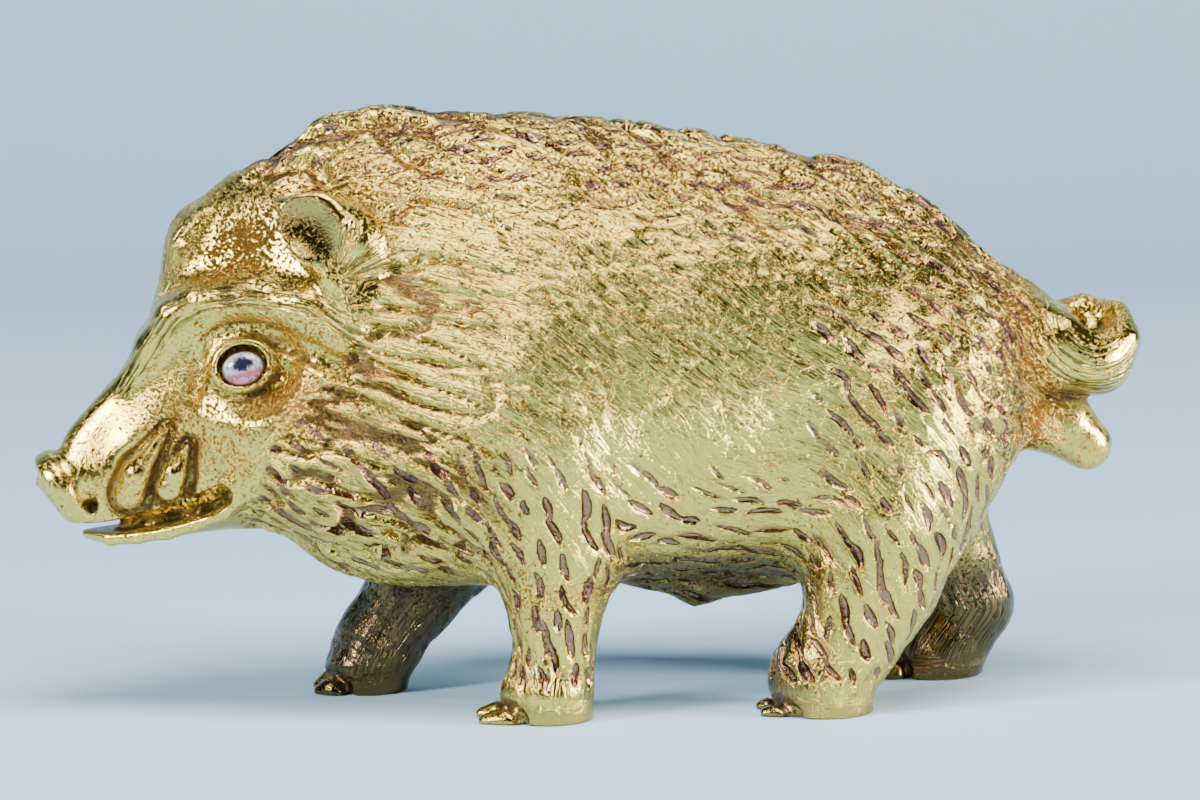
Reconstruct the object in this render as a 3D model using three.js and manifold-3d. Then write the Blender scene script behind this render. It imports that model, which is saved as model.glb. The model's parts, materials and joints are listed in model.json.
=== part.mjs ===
// A small cast-bronze wild boar, walking, with a glass eye set in a socket on each side of its head.
// Millimetres, +Z up, nose towards -X, the boar's left side towards -Y, standing on its four flat soles.
import * as THREE from "three";
import { mergeVertices } from "three/addons/utils/BufferGeometryUtils.js";
import Module from "manifold-3d";

const wasm = await Module();
wasm.setup();

// Driving dimensions, in millimetres
const LENGTH = 130; // snout disc to the far side of the tail's curl
const EYE_LENGTH = 5.2; // the glass eye's oval, along the head
const EYE_HEIGHT = 4.1;
const EYE_THICKNESS = 2.4; // from the back of the glass to its front
const EYE_CLEARANCE = 0.3; // between the glass and the socket's wall and floor
const STROKE_LENGTH = 7.4; // one chiselled stroke of the coat
const STROKE_WIDTH = 1.7;
const STROKE_DEPTH = 0.75;

// The figure is laid out in hundredths of its own length, and so is every place below.
const UNIT = LENGTH / 100;
const GRID = 0.55; // spacing of the samples that find the surface
const UNCUT_TRIANGLES = 15000; // the casting's faces before its strokes are cut
const CUT_TRIANGLES = 8850; // and after
const HEAD_ENDS = -18; // the head's faces are kept finer than the trunk's by HEAD_WEIGHT
const HEAD_WEIGHT = 6;
const SOLE_DEPTH = 2; // how far the legs run on below the ground before they are cut flat
const SPARE = 5.5; // room left round the form on every side where it is sampled

// Cross-sections of head and trunk, nose to rump: x, lowest, widest and highest point, half width
const STATIONS = [
  [-48.0, 18.2, 21.0, 24.2, 2.7],
  [-45.2, 16.0, 20.7, 26.8, 3.3],
  [-42.5, 15.2, 20.4, 29.4, 4.1],
  [-39.9, 15.4, 20.6, 35.5, 4.8],
  [-37.5, 15.8, 21.0, 42.8, 5.6],
  [-34.8, 16.2, 22.5, 46.3, 6.9],
  [-31.5, 16.3, 24.5, 49.0, 8.4],
  [-28.0, 15.4, 26.5, 51.5, 9.8],
  [-24.5, 12.8, 28.0, 53.5, 11.0],
  [-20.0, 11.0, 29.0, 54.6, 12.3],
  [-13.0, 10.6, 29.5, 54.4, 13.7],
  [-3.0, 10.6, 29.5, 53.6, 14.4],
  [8.0, 10.8, 29.5, 52.3, 14.4],
  [18.0, 11.0, 29.5, 50.3, 14.0],
  [25.0, 11.8, 29.5, 48.6, 13.3],
  [31.0, 13.6, 30.0, 45.1, 11.8],
  [36.0, 17.5, 30.5, 40.8, 9.2],
  [39.5, 22.0, 31.0, 38.2, 6.0],
  [42.0, 27.5, 31.5, 36.1, 3.4],
];

// Limbs and tail as chains of balls joined by cones: x, y, z, radius
const LEGS = {
  front_left: [
    [-3.5, -7.0, 24, 7.4], [-3.3, -7.8, 15, 5.6], [-4.2, -8.2, 9.6, 4.4], [-4.4, -8.2, 5.2, 3.8],
    [-5.0, -8.2, 2.6, 4.1], [-4.6, -8.2, -SOLE_DEPTH, 3.8],
  ],
  front_right: [
    [-7.5, 7.0, 24, 7.4], [-12.2, 7.8, 14, 5.6], [-16.2, 8.2, 8.6, 4.5], [-19.2, 8.2, 4.6, 4.1],
    [-20.4, 8.2, 2.4, 3.7], [-20.0, 8.2, -SOLE_DEPTH, 3.2],
  ],
  hind_left: [
    [28.0, -6.2, 28, 8.6], [26.0, -7.6, 18, 7.6], [24.4, -8.2, 11.5, 6.1], [22.4, -8.4, 7.0, 4.9],
    [19.6, -8.4, 3.2, 4.6], [20.4, -8.4, -SOLE_DEPTH, 4.1],
  ],
  hind_right: [
    [29.5, 6.2, 28, 8.6], [31.0, 7.6, 17, 6.4], [34.2, 8.2, 10.5, 4.6], [36.0, 8.4, 6.6, 4.1],
    [33.4, 8.4, 2.8, 4.2], [31.8, 8.4, -SOLE_DEPTH, 4.0],
  ],
};
// Two toes on each foot: from the foot's centre forward to their tips, and back to their roots
const TOE_REACH = { front_left: 6.0, front_right: 4.7, hind_left: 5.8, hind_right: 4.9 };
const TOE_ROOT = 3.2;
const TOE_SPREAD = 1.6;
const TOE_RADIUS = [1.7, 0.7]; // root and tip
const TOE_SEAM = { half: 0.22, depth: 0.45 }; // the groove where a toe meets the leg
const TAIL = [
  [37.5, 0.0, 31.8, 5.0], [42.3, -1.2, 31.2, 4.0], [45.9, -1.6, 30.4, 3.5], [47.6, -0.6, 31.6, 2.6],
  [47.5, 0.9, 33.4, 2.0], [45.4, 1.8, 34.3, 1.6], [43.3, 1.8, 34.3, 1.2],
];
const TAIL_RIDGES = [
  [[39.4, -1.8, 34.0, 2.1], [42.4, -3.1, 32.7, 1.9], [45.2, -3.6, 30.2, 1.8]],
  [[45.8, -3.5, 29.8, 1.7], [48.2, -2.3, 32.0, 1.6], [48.0, -0.4, 34.0, 1.5]],
];
const TAIL_PIT = [45.5, -2.3, 34.4, 1.7]; // the dimple that the curl leaves open
const TAIL_TIP = [[38.5, 0.0, 25.0, 3.2], [42.9, -0.7, 24.4, 3.1], [45.2, -0.9, 22.4, 2.5]];
// Swellings of shoulder and thigh, and the hollow before the thigh
const MUSCLES = [
  { centre: [-7.0, 8.6, 26.0], radii: [7.5, 6.6, 13.0] },
  { centre: [30.0, 7.4, 27.0], radii: [8.0, 6.6, 11.0] },
];
const FLANK = { centre: [16.5, 17.6, 21.0], radii: [5.5, 4.0, 9.0] };
const BELLY_KEEL = [[3.5, 0, 12.2, 1.4], [9.4, 0, 10.2, 2.0], [18.5, 0, 11.8, 2.0]];

// Head: sides are given for the right, y positive, and mirrored to the left
const SNOUT = { centre: [-47.7, 0, 20.8], facing: [-0.86, 0, -0.51], radius: 3.6, half: 1.2, round: 0.85 };
const SNOUT_GROOVE = { behind: 1.5, radius: 3.75, tube: 0.45 };
const NOSTRIL = { centre: [-48.35, 1.5, 19.3], radius: 0.8 };
const NOSE_BRIDGE = [[-45.4, 0, 24.9, 1.8], [-41.8, 0, 28.4, 2.2]];
const TUSKS = [
  [[-38.2, 4.6, 26.2, 0.3], [-40.9, 4.5, 22.3, 1.35], [-41.6, 4.1, 20.4, 1.5]],
  [[-36.4, 5.7, 24.8, 0.3], [-37.6, 5.6, 22.4, 1.2], [-38.05, 5.4, 21.1, 1.4]],
];
const TUSK_MOAT = { width: 0.5, depth: 0.9 }; // the soft hollow left round the tusks
const MOUTH = [
  [-47.2, 17.0, 0.25], [-45.5, 17.1, 0.3], [-42.8, 17.35, 0.45], [-39.9, 18.0, 0.6],
  [-37.5, 18.65, 0.7], [-35.0, 19.65, 0.9], [-33.6, 20.4, 0.85],
];
const MOUTH_DEPTH = 1.5;
const MOUTH_THROUGH = -44.8; // forward of here the lips are parted right through
const LIP = [
  [-45.3, 0.6, 16.5, 0.7], [-43.4, 2.2, 16.3, 0.85], [-41.0, 3.2, 16.6, 0.9],
  [-38.4, 4.2, 17.1, 0.95], [-35.7, 5.2, 18.0, 0.95], [-33.3, 6.4, 19.0, 0.9],
  [-32.1, 7.3, 20.2, 0.8], [-32.3, 7.5, 21.4, 0.65], [-33.4, 7.1, 21.9, 0.45],
];
const BROW = [
  [-41.3, 1.5, 30.0, 1.2], [-39.2, 2.5, 33.2, 1.5], [-37.3, 3.6, 35.9, 1.7], [-34.9, 4.7, 37.4, 1.8],
  [-30.7, 6.8, 38.0, 1.9], [-25.8, 8.9, 37.3, 1.8], [-22.3, 10.2, 34.9, 1.4],
];
const CREASE = [
  [-36.0, 28.4, 0.25], [-35.5, 30.4, 0.5], [-35.1, 32.2, 0.65], [-34.3, 33.7, 0.7], [-33.1, 34.6, 0.7],
  [-31.4, 35.0, 0.75], [-29.4, 34.8, 0.8], [-27.6, 34.1, 0.8], [-25.4, 33.2, 0.8], [-23.4, 32.2, 0.7],
];
const CREASE_DEPTH = 0.75;
const EYE = [-31.4, 7.35, 32.0];
const EYE_FACING = [-0.16, 0.97, 0.16];
const EYE_TURN = 0.2; // radians, the oval's rise towards the ear
const EYE_RIM = 0.5; // thickness of the lids round the glass
const SOCKET = { centre: [-31.6, 9.6, 31.9], radii: [5.0, 2.6, 4.2] };
const CHEEK = { centre: [-24.5, 7.4, 24.5], radii: [6.5, 4.2, 7.5] };
const CHEEKBONE = [[-34.6, 5.6, 27.3, 0.8], [-30.6, 7.4, 26.2, 1.4], [-26.6, 9.2, 28.2, 1.3]];
const FORELOCK = { centre: [-35.2, 0, 41.4], radii: [2.8, 3.2, 4.2] };
const FORELOCK_STRAND = [[-36.3, 1.5, 39.6, 0.8], [-36.0, 1.8, 42.2, 1.4], [-34.4, 1.8, 44.8, 1.0]];
// The ear: a leaf of balls joined by cones, scooped out, with a keen front rim that softens towards the neck
const EAR = {
  low: [-23.1, 10.4, 40.6, 1.0],
  high: [-24.3, 10.4, 44.0, 3.4],
  tip: [-28.1, 9.2, 46.5, 0.5],
  back: [-22.2, 9.4, 42.8, 2.8],
  root: [-22.0, 9.3, 37.6, 1.9],
  scoop: [[-23.2, 12.0, 41.2, 0.8], [-26.0, 14.6, 45.2, 4.4]],
  softFrom: -26.5,
};

// Which way the hair lies on the flank: x, z, degrees below the horizontal towards the tail
const HAIR_RUNS = [
  [-34, 22, 10], [-28, 24, 28], [-24, 34, 38], [-22, 16, 14], [-20, 44, 0], [-20, 50, -22],
  [-14, 28, 52], [-12, 38, 24], [-10, 48, -8], [-6, 22, 66], [-4, 12, 84], [-2, 34, 48],
  [4, 44, 12], [6, 24, 58], [8, 16, 14], [10, 34, 40], [14, 50, 6], [16, 18, 12],
  [18, 40, 30], [22, 26, 50], [24, 12, 74], [28, 44, 20], [30, 20, 60], [30, 32, 48],
  [35, 38, 34], [36, 28, 62],
];
const EAR_AND_BROW = [-18, 31]; // ahead of and above here the coat is left plain
const STROKE_ROWS = { from: [-26, 5], to: [38, 52], pitch: [6.8, 4.1], scatter: [2.4, 1.4] };

const clamp = (v, lo, hi) => Math.min(hi, Math.max(lo, v));

// Soft union and soft cut of two distances, blended over a band k
function blend(a, b, k) {
  const h = Math.max(k - Math.abs(a - b), 0) / k;
  return Math.min(a, b) - h * h * k * 0.25;
}
const carve = (a, b, k) => -blend(-a, b, k);

// A smooth curve through rows of [x, value...], returning the value in a column at x
function through(rows, column) {
  const slope = (i, j) => (rows[j][column] - rows[i][column]) / (rows[j][0] - rows[i][0]);
  const last = rows.length - 1;
  const tangents = rows.map((row, i) => {
    if (i === 0) return slope(0, 1);
    if (i === last) return slope(last - 1, last);
    const before = row[0] - rows[i - 1][0];
    const after = rows[i + 1][0] - row[0];
    return (slope(i, i + 1) * before + slope(i - 1, i) * after) / (before + after);
  });
  return (x) => {
    let i = 0;
    while (i < last - 1 && x > rows[i + 1][0]) i++;
    const span = rows[i + 1][0] - rows[i][0];
    const t = clamp((x - rows[i][0]) / span, 0, 1);
    const s = 1 - t;
    return (
      rows[i][column] * s * s * (1 + 2 * t) + tangents[i] * span * t * s * s +
      rows[i + 1][column] * t * t * (3 - 2 * t) - tangents[i + 1] * span * t * t * s
    );
  };
}
const [lowest, widest, highest, halfWidth] = [1, 2, 3, 4].map((column) => through(STATIONS, column));

// Distance to a cone with a ball at each end
function roundCone(x, y, z, a, b) {
  const [bx, by, bz] = [b[0] - a[0], b[1] - a[1], b[2] - a[2]];
  const [px, py, pz] = [x - a[0], y - a[1], z - a[2]];
  const l2 = bx * bx + by * by + bz * bz;
  const rr = a[3] - b[3];
  const a2 = l2 - rr * rr;
  const along = px * bx + py * by + pz * bz;
  const beyond = along - l2;
  const [cx, cy, cz] = [px * l2 - bx * along, py * l2 - by * along, pz * l2 - bz * along];
  const x2 = cx * cx + cy * cy + cz * cz;
  const y2 = along * along * l2;
  const z2 = beyond * beyond * l2;
  const k = Math.sign(rr) * rr * rr * x2;
  if (Math.sign(beyond) * a2 * z2 > k) return Math.sqrt(x2 + z2) / l2 - b[3];
  if (Math.sign(along) * a2 * y2 < k) return Math.sqrt(x2 + y2) / l2 - a[3];
  return (Math.sqrt((x2 * a2) / l2) + along * rr) / l2 - a[3];
}

function chain(x, y, z, balls, k) {
  let d = Infinity;
  for (let i = 1; i < balls.length; i++) {
    const link = roundCone(x, y, z, balls[i - 1], balls[i]);
    d = i === 1 ? link : blend(d, link, k);
  }
  return d;
}

function ellipsoid(x, y, z, centre, radii) {
  const [px, py, pz] = [x - centre[0], y - centre[1], z - centre[2]];
  const k0 = Math.hypot(px / radii[0], py / radii[1], pz / radii[2]);
  const k1 = Math.hypot(px / radii[0] ** 2, py / radii[1] ** 2, pz / radii[2] ** 2);
  return k1 === 0 ? -Math.min(...radii) : (k0 * (k0 - 1)) / k1;
}

// Head and trunk: how far a place lies from the superellipse of its own cross-section
function sectionGap(x, y, z) {
  const middle = widest(x);
  const up = z > middle;
  const reach = up ? highest(x) - middle : middle - lowest(x);
  const power = up ? 1.85 : 2.15;
  const rho = Math.hypot(y, z - middle);
  const g = (Math.abs(y / halfWidth(x)) ** power + Math.abs((z - middle) / reach) ** power) ** (1 / power);
  return g < 1e-6 ? -Math.min(reach, halfWidth(x)) : rho - rho / g;
}

function trunk(x, y, z) {
  const step = 0.25;
  const xc = clamp(x, STATIONS[0][0] + step, STATIONS.at(-1)[0] - step);
  const slope = (sectionGap(xc + step, y, z) - sectionGap(xc - step, y, z)) / (2 * step);
  const d = sectionGap(xc, y, z) / Math.hypot(1, slope);
  return x === xc ? d : Math.hypot(Math.max(d, 0), x - xc) + Math.min(d, 0);
}

function snoutDisc(x, y, z) {
  const { centre, facing, radius, half, round } = SNOUT;
  const [px, pz] = [x - centre[0], z - centre[2]];
  const along = px * facing[0] + pz * facing[2];
  const across = Math.hypot(y, px * facing[2] - pz * facing[0]);
  const outer = [across - radius + round, Math.abs(along) - half + round];
  return Math.min(Math.max(...outer), 0) + Math.hypot(Math.max(outer[0], 0), Math.max(outer[1], 0)) - round;
}

// How far a place lies outside a ring groove behind the snout's disc
function snoutRing(x, y, z) {
  const { centre, facing } = SNOUT;
  const { behind, radius, tube } = SNOUT_GROOVE;
  const [px, pz] = [x - centre[0] + facing[0] * behind, z - centre[2] + facing[2] * behind];
  const across = Math.hypot(y, px * facing[2] - pz * facing[0]);
  return Math.hypot(across - radius, px * facing[0] + pz * facing[2]) - tube;
}

// A groove along a path on the flank, rows of x, z and half width, cut to an even depth below the surface
function groove(d, x, z, path, depth, band) {
  let side = Infinity;
  for (let i = 1; i < path.length; i++) {
    const [a, b] = [path[i - 1], path[i]];
    const [ex, ez] = [b[0] - a[0], b[1] - a[1]];
    const t = clamp(((x - a[0]) * ex + (z - a[1]) * ez) / (ex * ex + ez * ez), 0, 1);
    side = Math.min(side, Math.hypot(x - a[0] - ex * t, z - a[1] - ez * t) - a[2] - (b[2] - a[2]) * t);
  }
  return carve(d, Math.max(side, -depth - d), band);
}

// An oriented frame: along, across and facing unit vectors
function frameOf(along, facing) {
  const z = new THREE.Vector3(...facing).normalize();
  const x = new THREE.Vector3(...along);
  x.addScaledVector(z, -x.dot(z)).normalize();
  return { x, y: new THREE.Vector3().crossVectors(z, x), z };
}
const earBend = EAR.high.map((v, i) => v + (EAR.tip[i] - v) * 0.15);
const eyeFrame = frameOf([Math.cos(EYE_TURN), 0, Math.sin(EYE_TURN)], EYE_FACING);
const EYE_RADII = [EYE_LENGTH / 2 / UNIT, EYE_HEIGHT / 2 / UNIT];

function local(frame, centre, x, y, z) {
  const p = [x - centre[0], y - centre[1], z - centre[2]];
  return [frame.x, frame.y, frame.z].map((axis) => p[0] * axis.x + p[1] * axis.y + p[2] * axis.z);
}

const earSoftness = (x) => clamp(x - EAR.softFrom, 0, 5);

// A leaf-shaped ear with a scooped-out front
function ear(x, ay, z) {
  const leaf = blend(roundCone(x, ay, z, EAR.low, EAR.high), roundCone(x, ay, z, earBend, EAR.tip), 0.8);
  const full = blend(leaf, roundCone(x, ay, z, EAR.low, EAR.back), 1.2);
  const rooted = blend(full, roundCone(x, ay, z, EAR.low, EAR.root), 1.2);
  return carve(rooted, roundCone(x, ay, z, ...EAR.scoop), 0.3 + 0.6 * earSoftness(x));
}

// The lids: an oval ring standing round the glass
function eyelids(x, ay, z) {
  const [u, v, w] = local(eyeFrame, EYE, x, ay, z);
  const [a, b] = EYE_RADII.map((r) => r + EYE_RIM);
  const ring = (Math.hypot(u / a, v / b) - 1) * b;
  return Math.hypot(ring, w * 0.8) - EYE_RIM;
}

function head(x, ay, z) {
  let d = blend(trunk(x, ay, z), snoutDisc(x, ay, z), 1.2);
  if (x > -14) return d;
  d = carve(d, snoutRing(x, ay, z), 0.8);
  d = blend(d, chain(x, ay, z, NOSE_BRIDGE, 0.5), 1.5);
  d = blend(d, ellipsoid(x, ay, z, CHEEK.centre, CHEEK.radii), 3);
  d = blend(d, ellipsoid(x, ay, z, FORELOCK.centre, FORELOCK.radii), 1.6);
  d = blend(d, chain(x, ay, z, FORELOCK_STRAND, 0.4), 0.9);
  d = blend(d, chain(x, ay, z, BROW, 1.4), 1.4);
  d = carve(d, ellipsoid(x, ay, z, SOCKET.centre, SOCKET.radii), 1.1);
  d = groove(d, x, z, CREASE, CREASE_DEPTH, 0.9);
  d = blend(d, chain(x, ay, z, CHEEKBONE, 0.6), 1.6);
  d = blend(d, eyelids(x, ay, z), 0.4);
  d = blend(d, ear(x, ay, z), 0.9 + 0.5 * earSoftness(x));
  d = blend(d, chain(x, ay, z, LIP, 0.4), 0.6);
  d = groove(d, x, z, MOUTH, x < MOUTH_THROUGH ? 9 : MOUTH_DEPTH, 0.5);
  const drops = TUSKS.map((tusk) => chain(x, ay, z, tusk, 0.5));
  d = carve(d, Math.max(Math.min(...drops) - TUSK_MOAT.width, -TUSK_MOAT.depth - d), 0.9);
  for (const drop of drops) {
    d = blend(d, drop, 0.15);
  }
  const [nx, ny, nz] = NOSTRIL.centre;
  return carve(d, Math.hypot(x - nx, ay - ny, z - nz) - NOSTRIL.radius, 0.3);
}

function leg(x, y, z, name) {
  const balls = LEGS[name];
  const foot = balls.at(-1);
  let d = chain(x, y, z, balls, 1.2);
  for (const side of [-1, 1]) {
    const ty = foot[1] + side * TOE_SPREAD;
    const root = [foot[0] - TOE_ROOT, ty, 0.4, TOE_RADIUS[0]];
    const tip = [foot[0] - TOE_REACH[name], ty, 0.3, TOE_RADIUS[1]];
    const toe = roundCone(x, y, z, root, tip);
    const joined = Math.min(d, toe);
    d = carve(joined, Math.max(Math.abs(toe - d) / 2 - TOE_SEAM.half, -TOE_SEAM.depth - joined), 0.2);
  }
  return d;
}

// Signed distance to the whole casting, negative inside
function boar(x, y, z) {
  const ay = Math.abs(y);
  let d = head(x, ay, z);
  for (const muscle of MUSCLES) d = blend(d, ellipsoid(x, ay, z, muscle.centre, muscle.radii), 3);
  d = carve(d, ellipsoid(x, ay, z, FLANK.centre, FLANK.radii), 2.5);
  d = blend(d, chain(x, y, z, BELLY_KEEL, 1), 2.5);
  for (const name of Object.keys(LEGS)) d = blend(d, leg(x, y, z, name), 3.2);
  if (x < 30) return d;
  d = blend(d, chain(x, y, z, TAIL, 0.5), 1.2);
  for (const ridge of TAIL_RIDGES) d = blend(d, chain(x, y, z, ridge, 0.4), 0.9);
  d = carve(d, Math.hypot(x - TAIL_PIT[0], y - TAIL_PIT[1], z - TAIL_PIT[2]) - TAIL_PIT[3], 0.9);
  return blend(d, chain(x, y, z, TAIL_TIP, 0.5), 0.7);
}

function gradient(x, y, z, e = 0.05) {
  return new THREE.Vector3(
    boar(x + e, y, z) - boar(x - e, y, z),
    boar(x, y + e, z) - boar(x, y - e, z),
    boar(x, y, z + e) - boar(x, y, z - e),
  ).divideScalar(2 * e);
}

// Fills the cells where two parts of the surface would touch at an edge or a corner
function untangle(values, [nx, ny, nz]) {
  const steps = [1, nx, nx * ny];
  const corner = (c) => (c & 1) * steps[0] + ((c >> 1) & 1) * steps[1] + (c >> 2) * steps[2];
  const corners = [0, 1, 2, 3, 4, 5, 6, 7].map(corner);
  const sides = [[0, 1, 3, 2], [4, 5, 7, 6], [0, 1, 5, 4], [2, 3, 7, 6], [0, 2, 6, 4], [1, 3, 7, 5]];
  for (let changed = true; changed; ) {
    changed = false;
    for (let k = 0; k < nz - 1; k++)
      for (let j = 0; j < ny - 1; j++)
        for (let i = 0; i < nx - 1; i++) {
          const base = k * steps[2] + j * steps[1] + i;
          const inside = corners.map((offset) => values[base + offset] < 0);
          const count = inside.filter(Boolean).length;
          if (count < 2 || count > 6) continue;
          const crossed = sides.some(([a, b, c, d]) =>
            inside[a] === inside[c] && inside[b] === inside[d] && inside[a] !== inside[b]);
          const few = count === 2;
          const opposite = [0, 1, 2, 3].some((c) => inside[c] === few && inside[7 - c] === few);
          const apart = (few || count === 6) && opposite;
          if (!crossed && !apart) continue;
          corners.forEach((offset) => (values[base + offset] = Math.min(values[base + offset], -1e-3)));
          changed = true;
        }
  }
}

// The box that holds every cross-section and ball of the form, with room to spare
function reach() {
  const balls = [...Object.values(LEGS), TAIL, TAIL_TIP, ...TAIL_RIDGES].flat();
  const spans = [0, 1, 2].map((axis) =>
    balls.flatMap((ball) => [ball[axis] - ball[3], ball[axis] + ball[3]]));
  for (const [x, low, , high, half] of STATIONS) {
    spans[0].push(x);
    spans[1].push(-half, half);
    spans[2].push(low, high);
  }
  const low = spans.map((span) => Math.min(...span) - SPARE);
  const high = spans.map((span) => Math.max(...span) + SPARE);
  return [low, high];
}

// Closed quad mesh of the zero surface: one vertex in each crossed cell, then drawn onto the surface
function surfaceMesh() {
  const [low, high] = reach();
  const [nx, ny, nz] = low.map((v, i) => Math.ceil((high[i] - v) / GRID) + 1);
  const at = (i, j, k) => (k * ny + j) * nx + i;
  const place = (i, axis) => low[axis] + i * GRID;
  const values = new Float32Array(nx * ny * nz);
  const block = 4;
  const near = block * GRID * 1.5;
  for (let k = 0; k < nz; k += block)
    for (let j = 0; j < ny; j += block)
      for (let i = 0; i < nx; i += block) {
        const middle = boar(place(i + block / 2, 0), place(j + block / 2, 1), place(k + block / 2, 2));
        for (let c = k; c < Math.min(k + block, nz); c++)
          for (let b = j; b < Math.min(j + block, ny); b++)
            for (let a = i; a < Math.min(i + block, nx); a++)
              values[at(a, b, c)] =
                Math.abs(middle) > near ? middle : boar(place(a, 0), place(b, 1), place(c, 2));
      }
  untangle(values, [nx, ny, nz]);
  const vertexOf = new Map();
  const points = [];
  for (let k = 0; k < nz - 1; k++)
    for (let j = 0; j < ny - 1; j++)
      for (let i = 0; i < nx - 1; i++) {
        let inside = 0;
        for (let c = 0; c < 8; c++) inside += values[at(i + (c & 1), j + ((c >> 1) & 1), k + (c >> 2))] < 0;
        if (inside === 0 || inside === 8) continue;
        const sum = [0, 0, 0];
        let crossings = 0;
        for (let c = 0; c < 8; c++)
          for (let axis = 0; axis < 3; axis++) {
            if (c & (1 << axis)) continue;
            const other = c | (1 << axis);
            const va = values[at(i + (c & 1), j + ((c >> 1) & 1), k + (c >> 2))];
            const vb = values[at(i + (other & 1), j + ((other >> 1) & 1), k + (other >> 2))];
            if (va < 0 === vb < 0) continue;
            const t = va / (va - vb);
            [0, 1, 2].forEach((m) => (sum[m] += ((c >> m) & 1) + (m === axis ? t : 0)));
            crossings++;
          }
        vertexOf.set(at(i, j, k), points.length);
        points.push([i, j, k].map((v, m) => low[m] + (v + sum[m] / crossings) * GRID));
      }
  for (const p of points) {
    const g = gradient(...p);
    const step = clamp(boar(...p) / Math.max(g.lengthSq(), 0.3), -GRID / 2, GRID / 2);
    p[0] -= g.x * step;
    p[1] -= g.y * step;
    p[2] -= g.z * step;
  }
  const faces = [];
  const steps = [1, nx, nx * ny];
  for (let k = 1; k < nz - 1; k++)
    for (let j = 1; j < ny - 1; j++)
      for (let i = 1; i < nx - 1; i++) {
        const here = at(i, j, k);
        for (let axis = 0; axis < 3; axis++) {
          const inside = values[here] < 0;
          if (inside === values[here + steps[axis]] < 0) continue;
          const [u, v] = [steps[(axis + 1) % 3], steps[(axis + 2) % 3]];
          const quad = [here - u - v, here - v, here, here - u].map((cell) => vertexOf.get(cell));
          if (!inside) quad.reverse();
          faces.push([quad[0], quad[1], quad[2]], [quad[0], quad[2], quad[3]]);
        }
      }
  return { points, faces };
}

// Fewer faces where the form is plain: collapses the edges whose loss moves the surface least
function simplified({ points, faces }, target) {
  const position = points.map((p) => new THREE.Vector3(...p));
  const around = points.map(() => new Set());
  const quadric = points.map(() => new Float64Array(10));
  const alive = faces.map(() => true);
  const stamp = new Uint32Array(points.length);
  const normalOf = (a, b, c) => b.clone().sub(a).cross(c.clone().sub(a));
  faces.forEach((face, f) => {
    const n = normalOf(...face.map((v) => position[v]));
    const area = n.length();
    n.normalize();
    const [a, b, c, d] = [n.x, n.y, n.z, -n.dot(position[face[0]])];
    const weight = area * (position[face[0]].x < HEAD_ENDS ? HEAD_WEIGHT : 1);
    const plane = [a * a, a * b, a * c, a * d, b * b, b * c, b * d, c * c, c * d, d * d];
    for (const v of face) {
      around[v].add(f);
      plane.forEach((value, i) => (quadric[v][i] += value * weight));
    }
  });
  const error = (q, p) =>
    q[0] * p.x * p.x + 2 * q[1] * p.x * p.y + 2 * q[2] * p.x * p.z + 2 * q[3] * p.x + q[4] * p.y * p.y +
    2 * q[5] * p.y * p.z + 2 * q[6] * p.y + q[7] * p.z * p.z + 2 * q[8] * p.z + q[9];
  const best = (q, a, b) => {
    const m = new THREE.Matrix3().set(q[0], q[1], q[2], q[1], q[4], q[5], q[2], q[5], q[7]);
    const middle = a.clone().add(b).multiplyScalar(0.5);
    if (Math.abs(m.determinant()) > 1e-4) {
      const p = new THREE.Vector3(-q[3], -q[6], -q[8]).applyMatrix3(m.invert());
      if (p.distanceTo(middle) < 2 * a.distanceTo(b)) return p;
    }
    return [a, b, middle].reduce((x, y) => (error(q, y) < error(q, x) ? y : x)).clone();
  };
  const neighbours = (v) => new Set([...around[v]].flatMap((f) => faces[f]).filter((w) => w !== v));
  const heap = [];
  const swap = (i, j) => ([heap[i], heap[j]] = [heap[j], heap[i]]);
  const push = (item) => {
    let i = heap.push(item) - 1;
    for (; i > 0 && heap[(i - 1) >> 1].cost > heap[i].cost; i = (i - 1) >> 1) swap(i, (i - 1) >> 1);
  };
  const pop = () => {
    swap(0, heap.length - 1);
    const top = heap.pop();
    for (let i = 0; ; ) {
      let least = i;
      for (const child of [2 * i + 1, 2 * i + 2])
        if (child < heap.length && heap[child].cost < heap[least].cost) least = child;
      if (least === i) return top;
      swap(i, least);
      i = least;
    }
  };
  const offer = (a, b) => {
    const q = quadric[a].map((value, i) => value + quadric[b][i]);
    const p = best(q, position[a], position[b]);
    const length = position[a].distanceToSquared(position[b]);
    push({ a, b, p, q, cost: error(q, p) + 2e-5 * length, ages: [stamp[a], stamp[b]] });
  };
  points.forEach((_, a) => neighbours(a).forEach((b) => a < b && offer(a, b)));
  const turnsOver = (v, other, p) =>
    [...around[v]].some((f) => {
      const face = faces[f];
      if (face.includes(other)) return false;
      const before = normalOf(...face.map((w) => position[w]));
      const after = normalOf(...face.map((w) => (w === v ? p : position[w])));
      return before.dot(after) < 0.25 * before.length() * after.length();
    });
  let left = faces.length;
  while (left > target && heap.length) {
    const { a, b, p, q, ages } = pop();
    if (ages[0] !== stamp[a] || ages[1] !== stamp[b] || !around[a].size || !around[b].size) continue;
    const mine = neighbours(a);
    const shared = [...neighbours(b)].filter((w) => mine.has(w));
    if (shared.length !== 2 || turnsOver(a, b, p) || turnsOver(b, a, p)) continue;
    for (const f of [...around[b]]) {
      if (faces[f].includes(a)) {
        faces[f].forEach((w) => around[w].delete(f));
        alive[f] = false;
        left--;
      } else {
        faces[f] = faces[f].map((w) => (w === b ? a : w));
        around[a].add(f);
      }
    }
    around[b].clear();
    position[a].copy(p);
    quadric[a] = q;
    stamp[a]++;
    stamp[b]++;
    neighbours(a).forEach((w) => offer(a, w));
  }
  return { points: position.map((p) => p.toArray()), faces: faces.filter((_, f) => alive[f]) };
}

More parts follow.
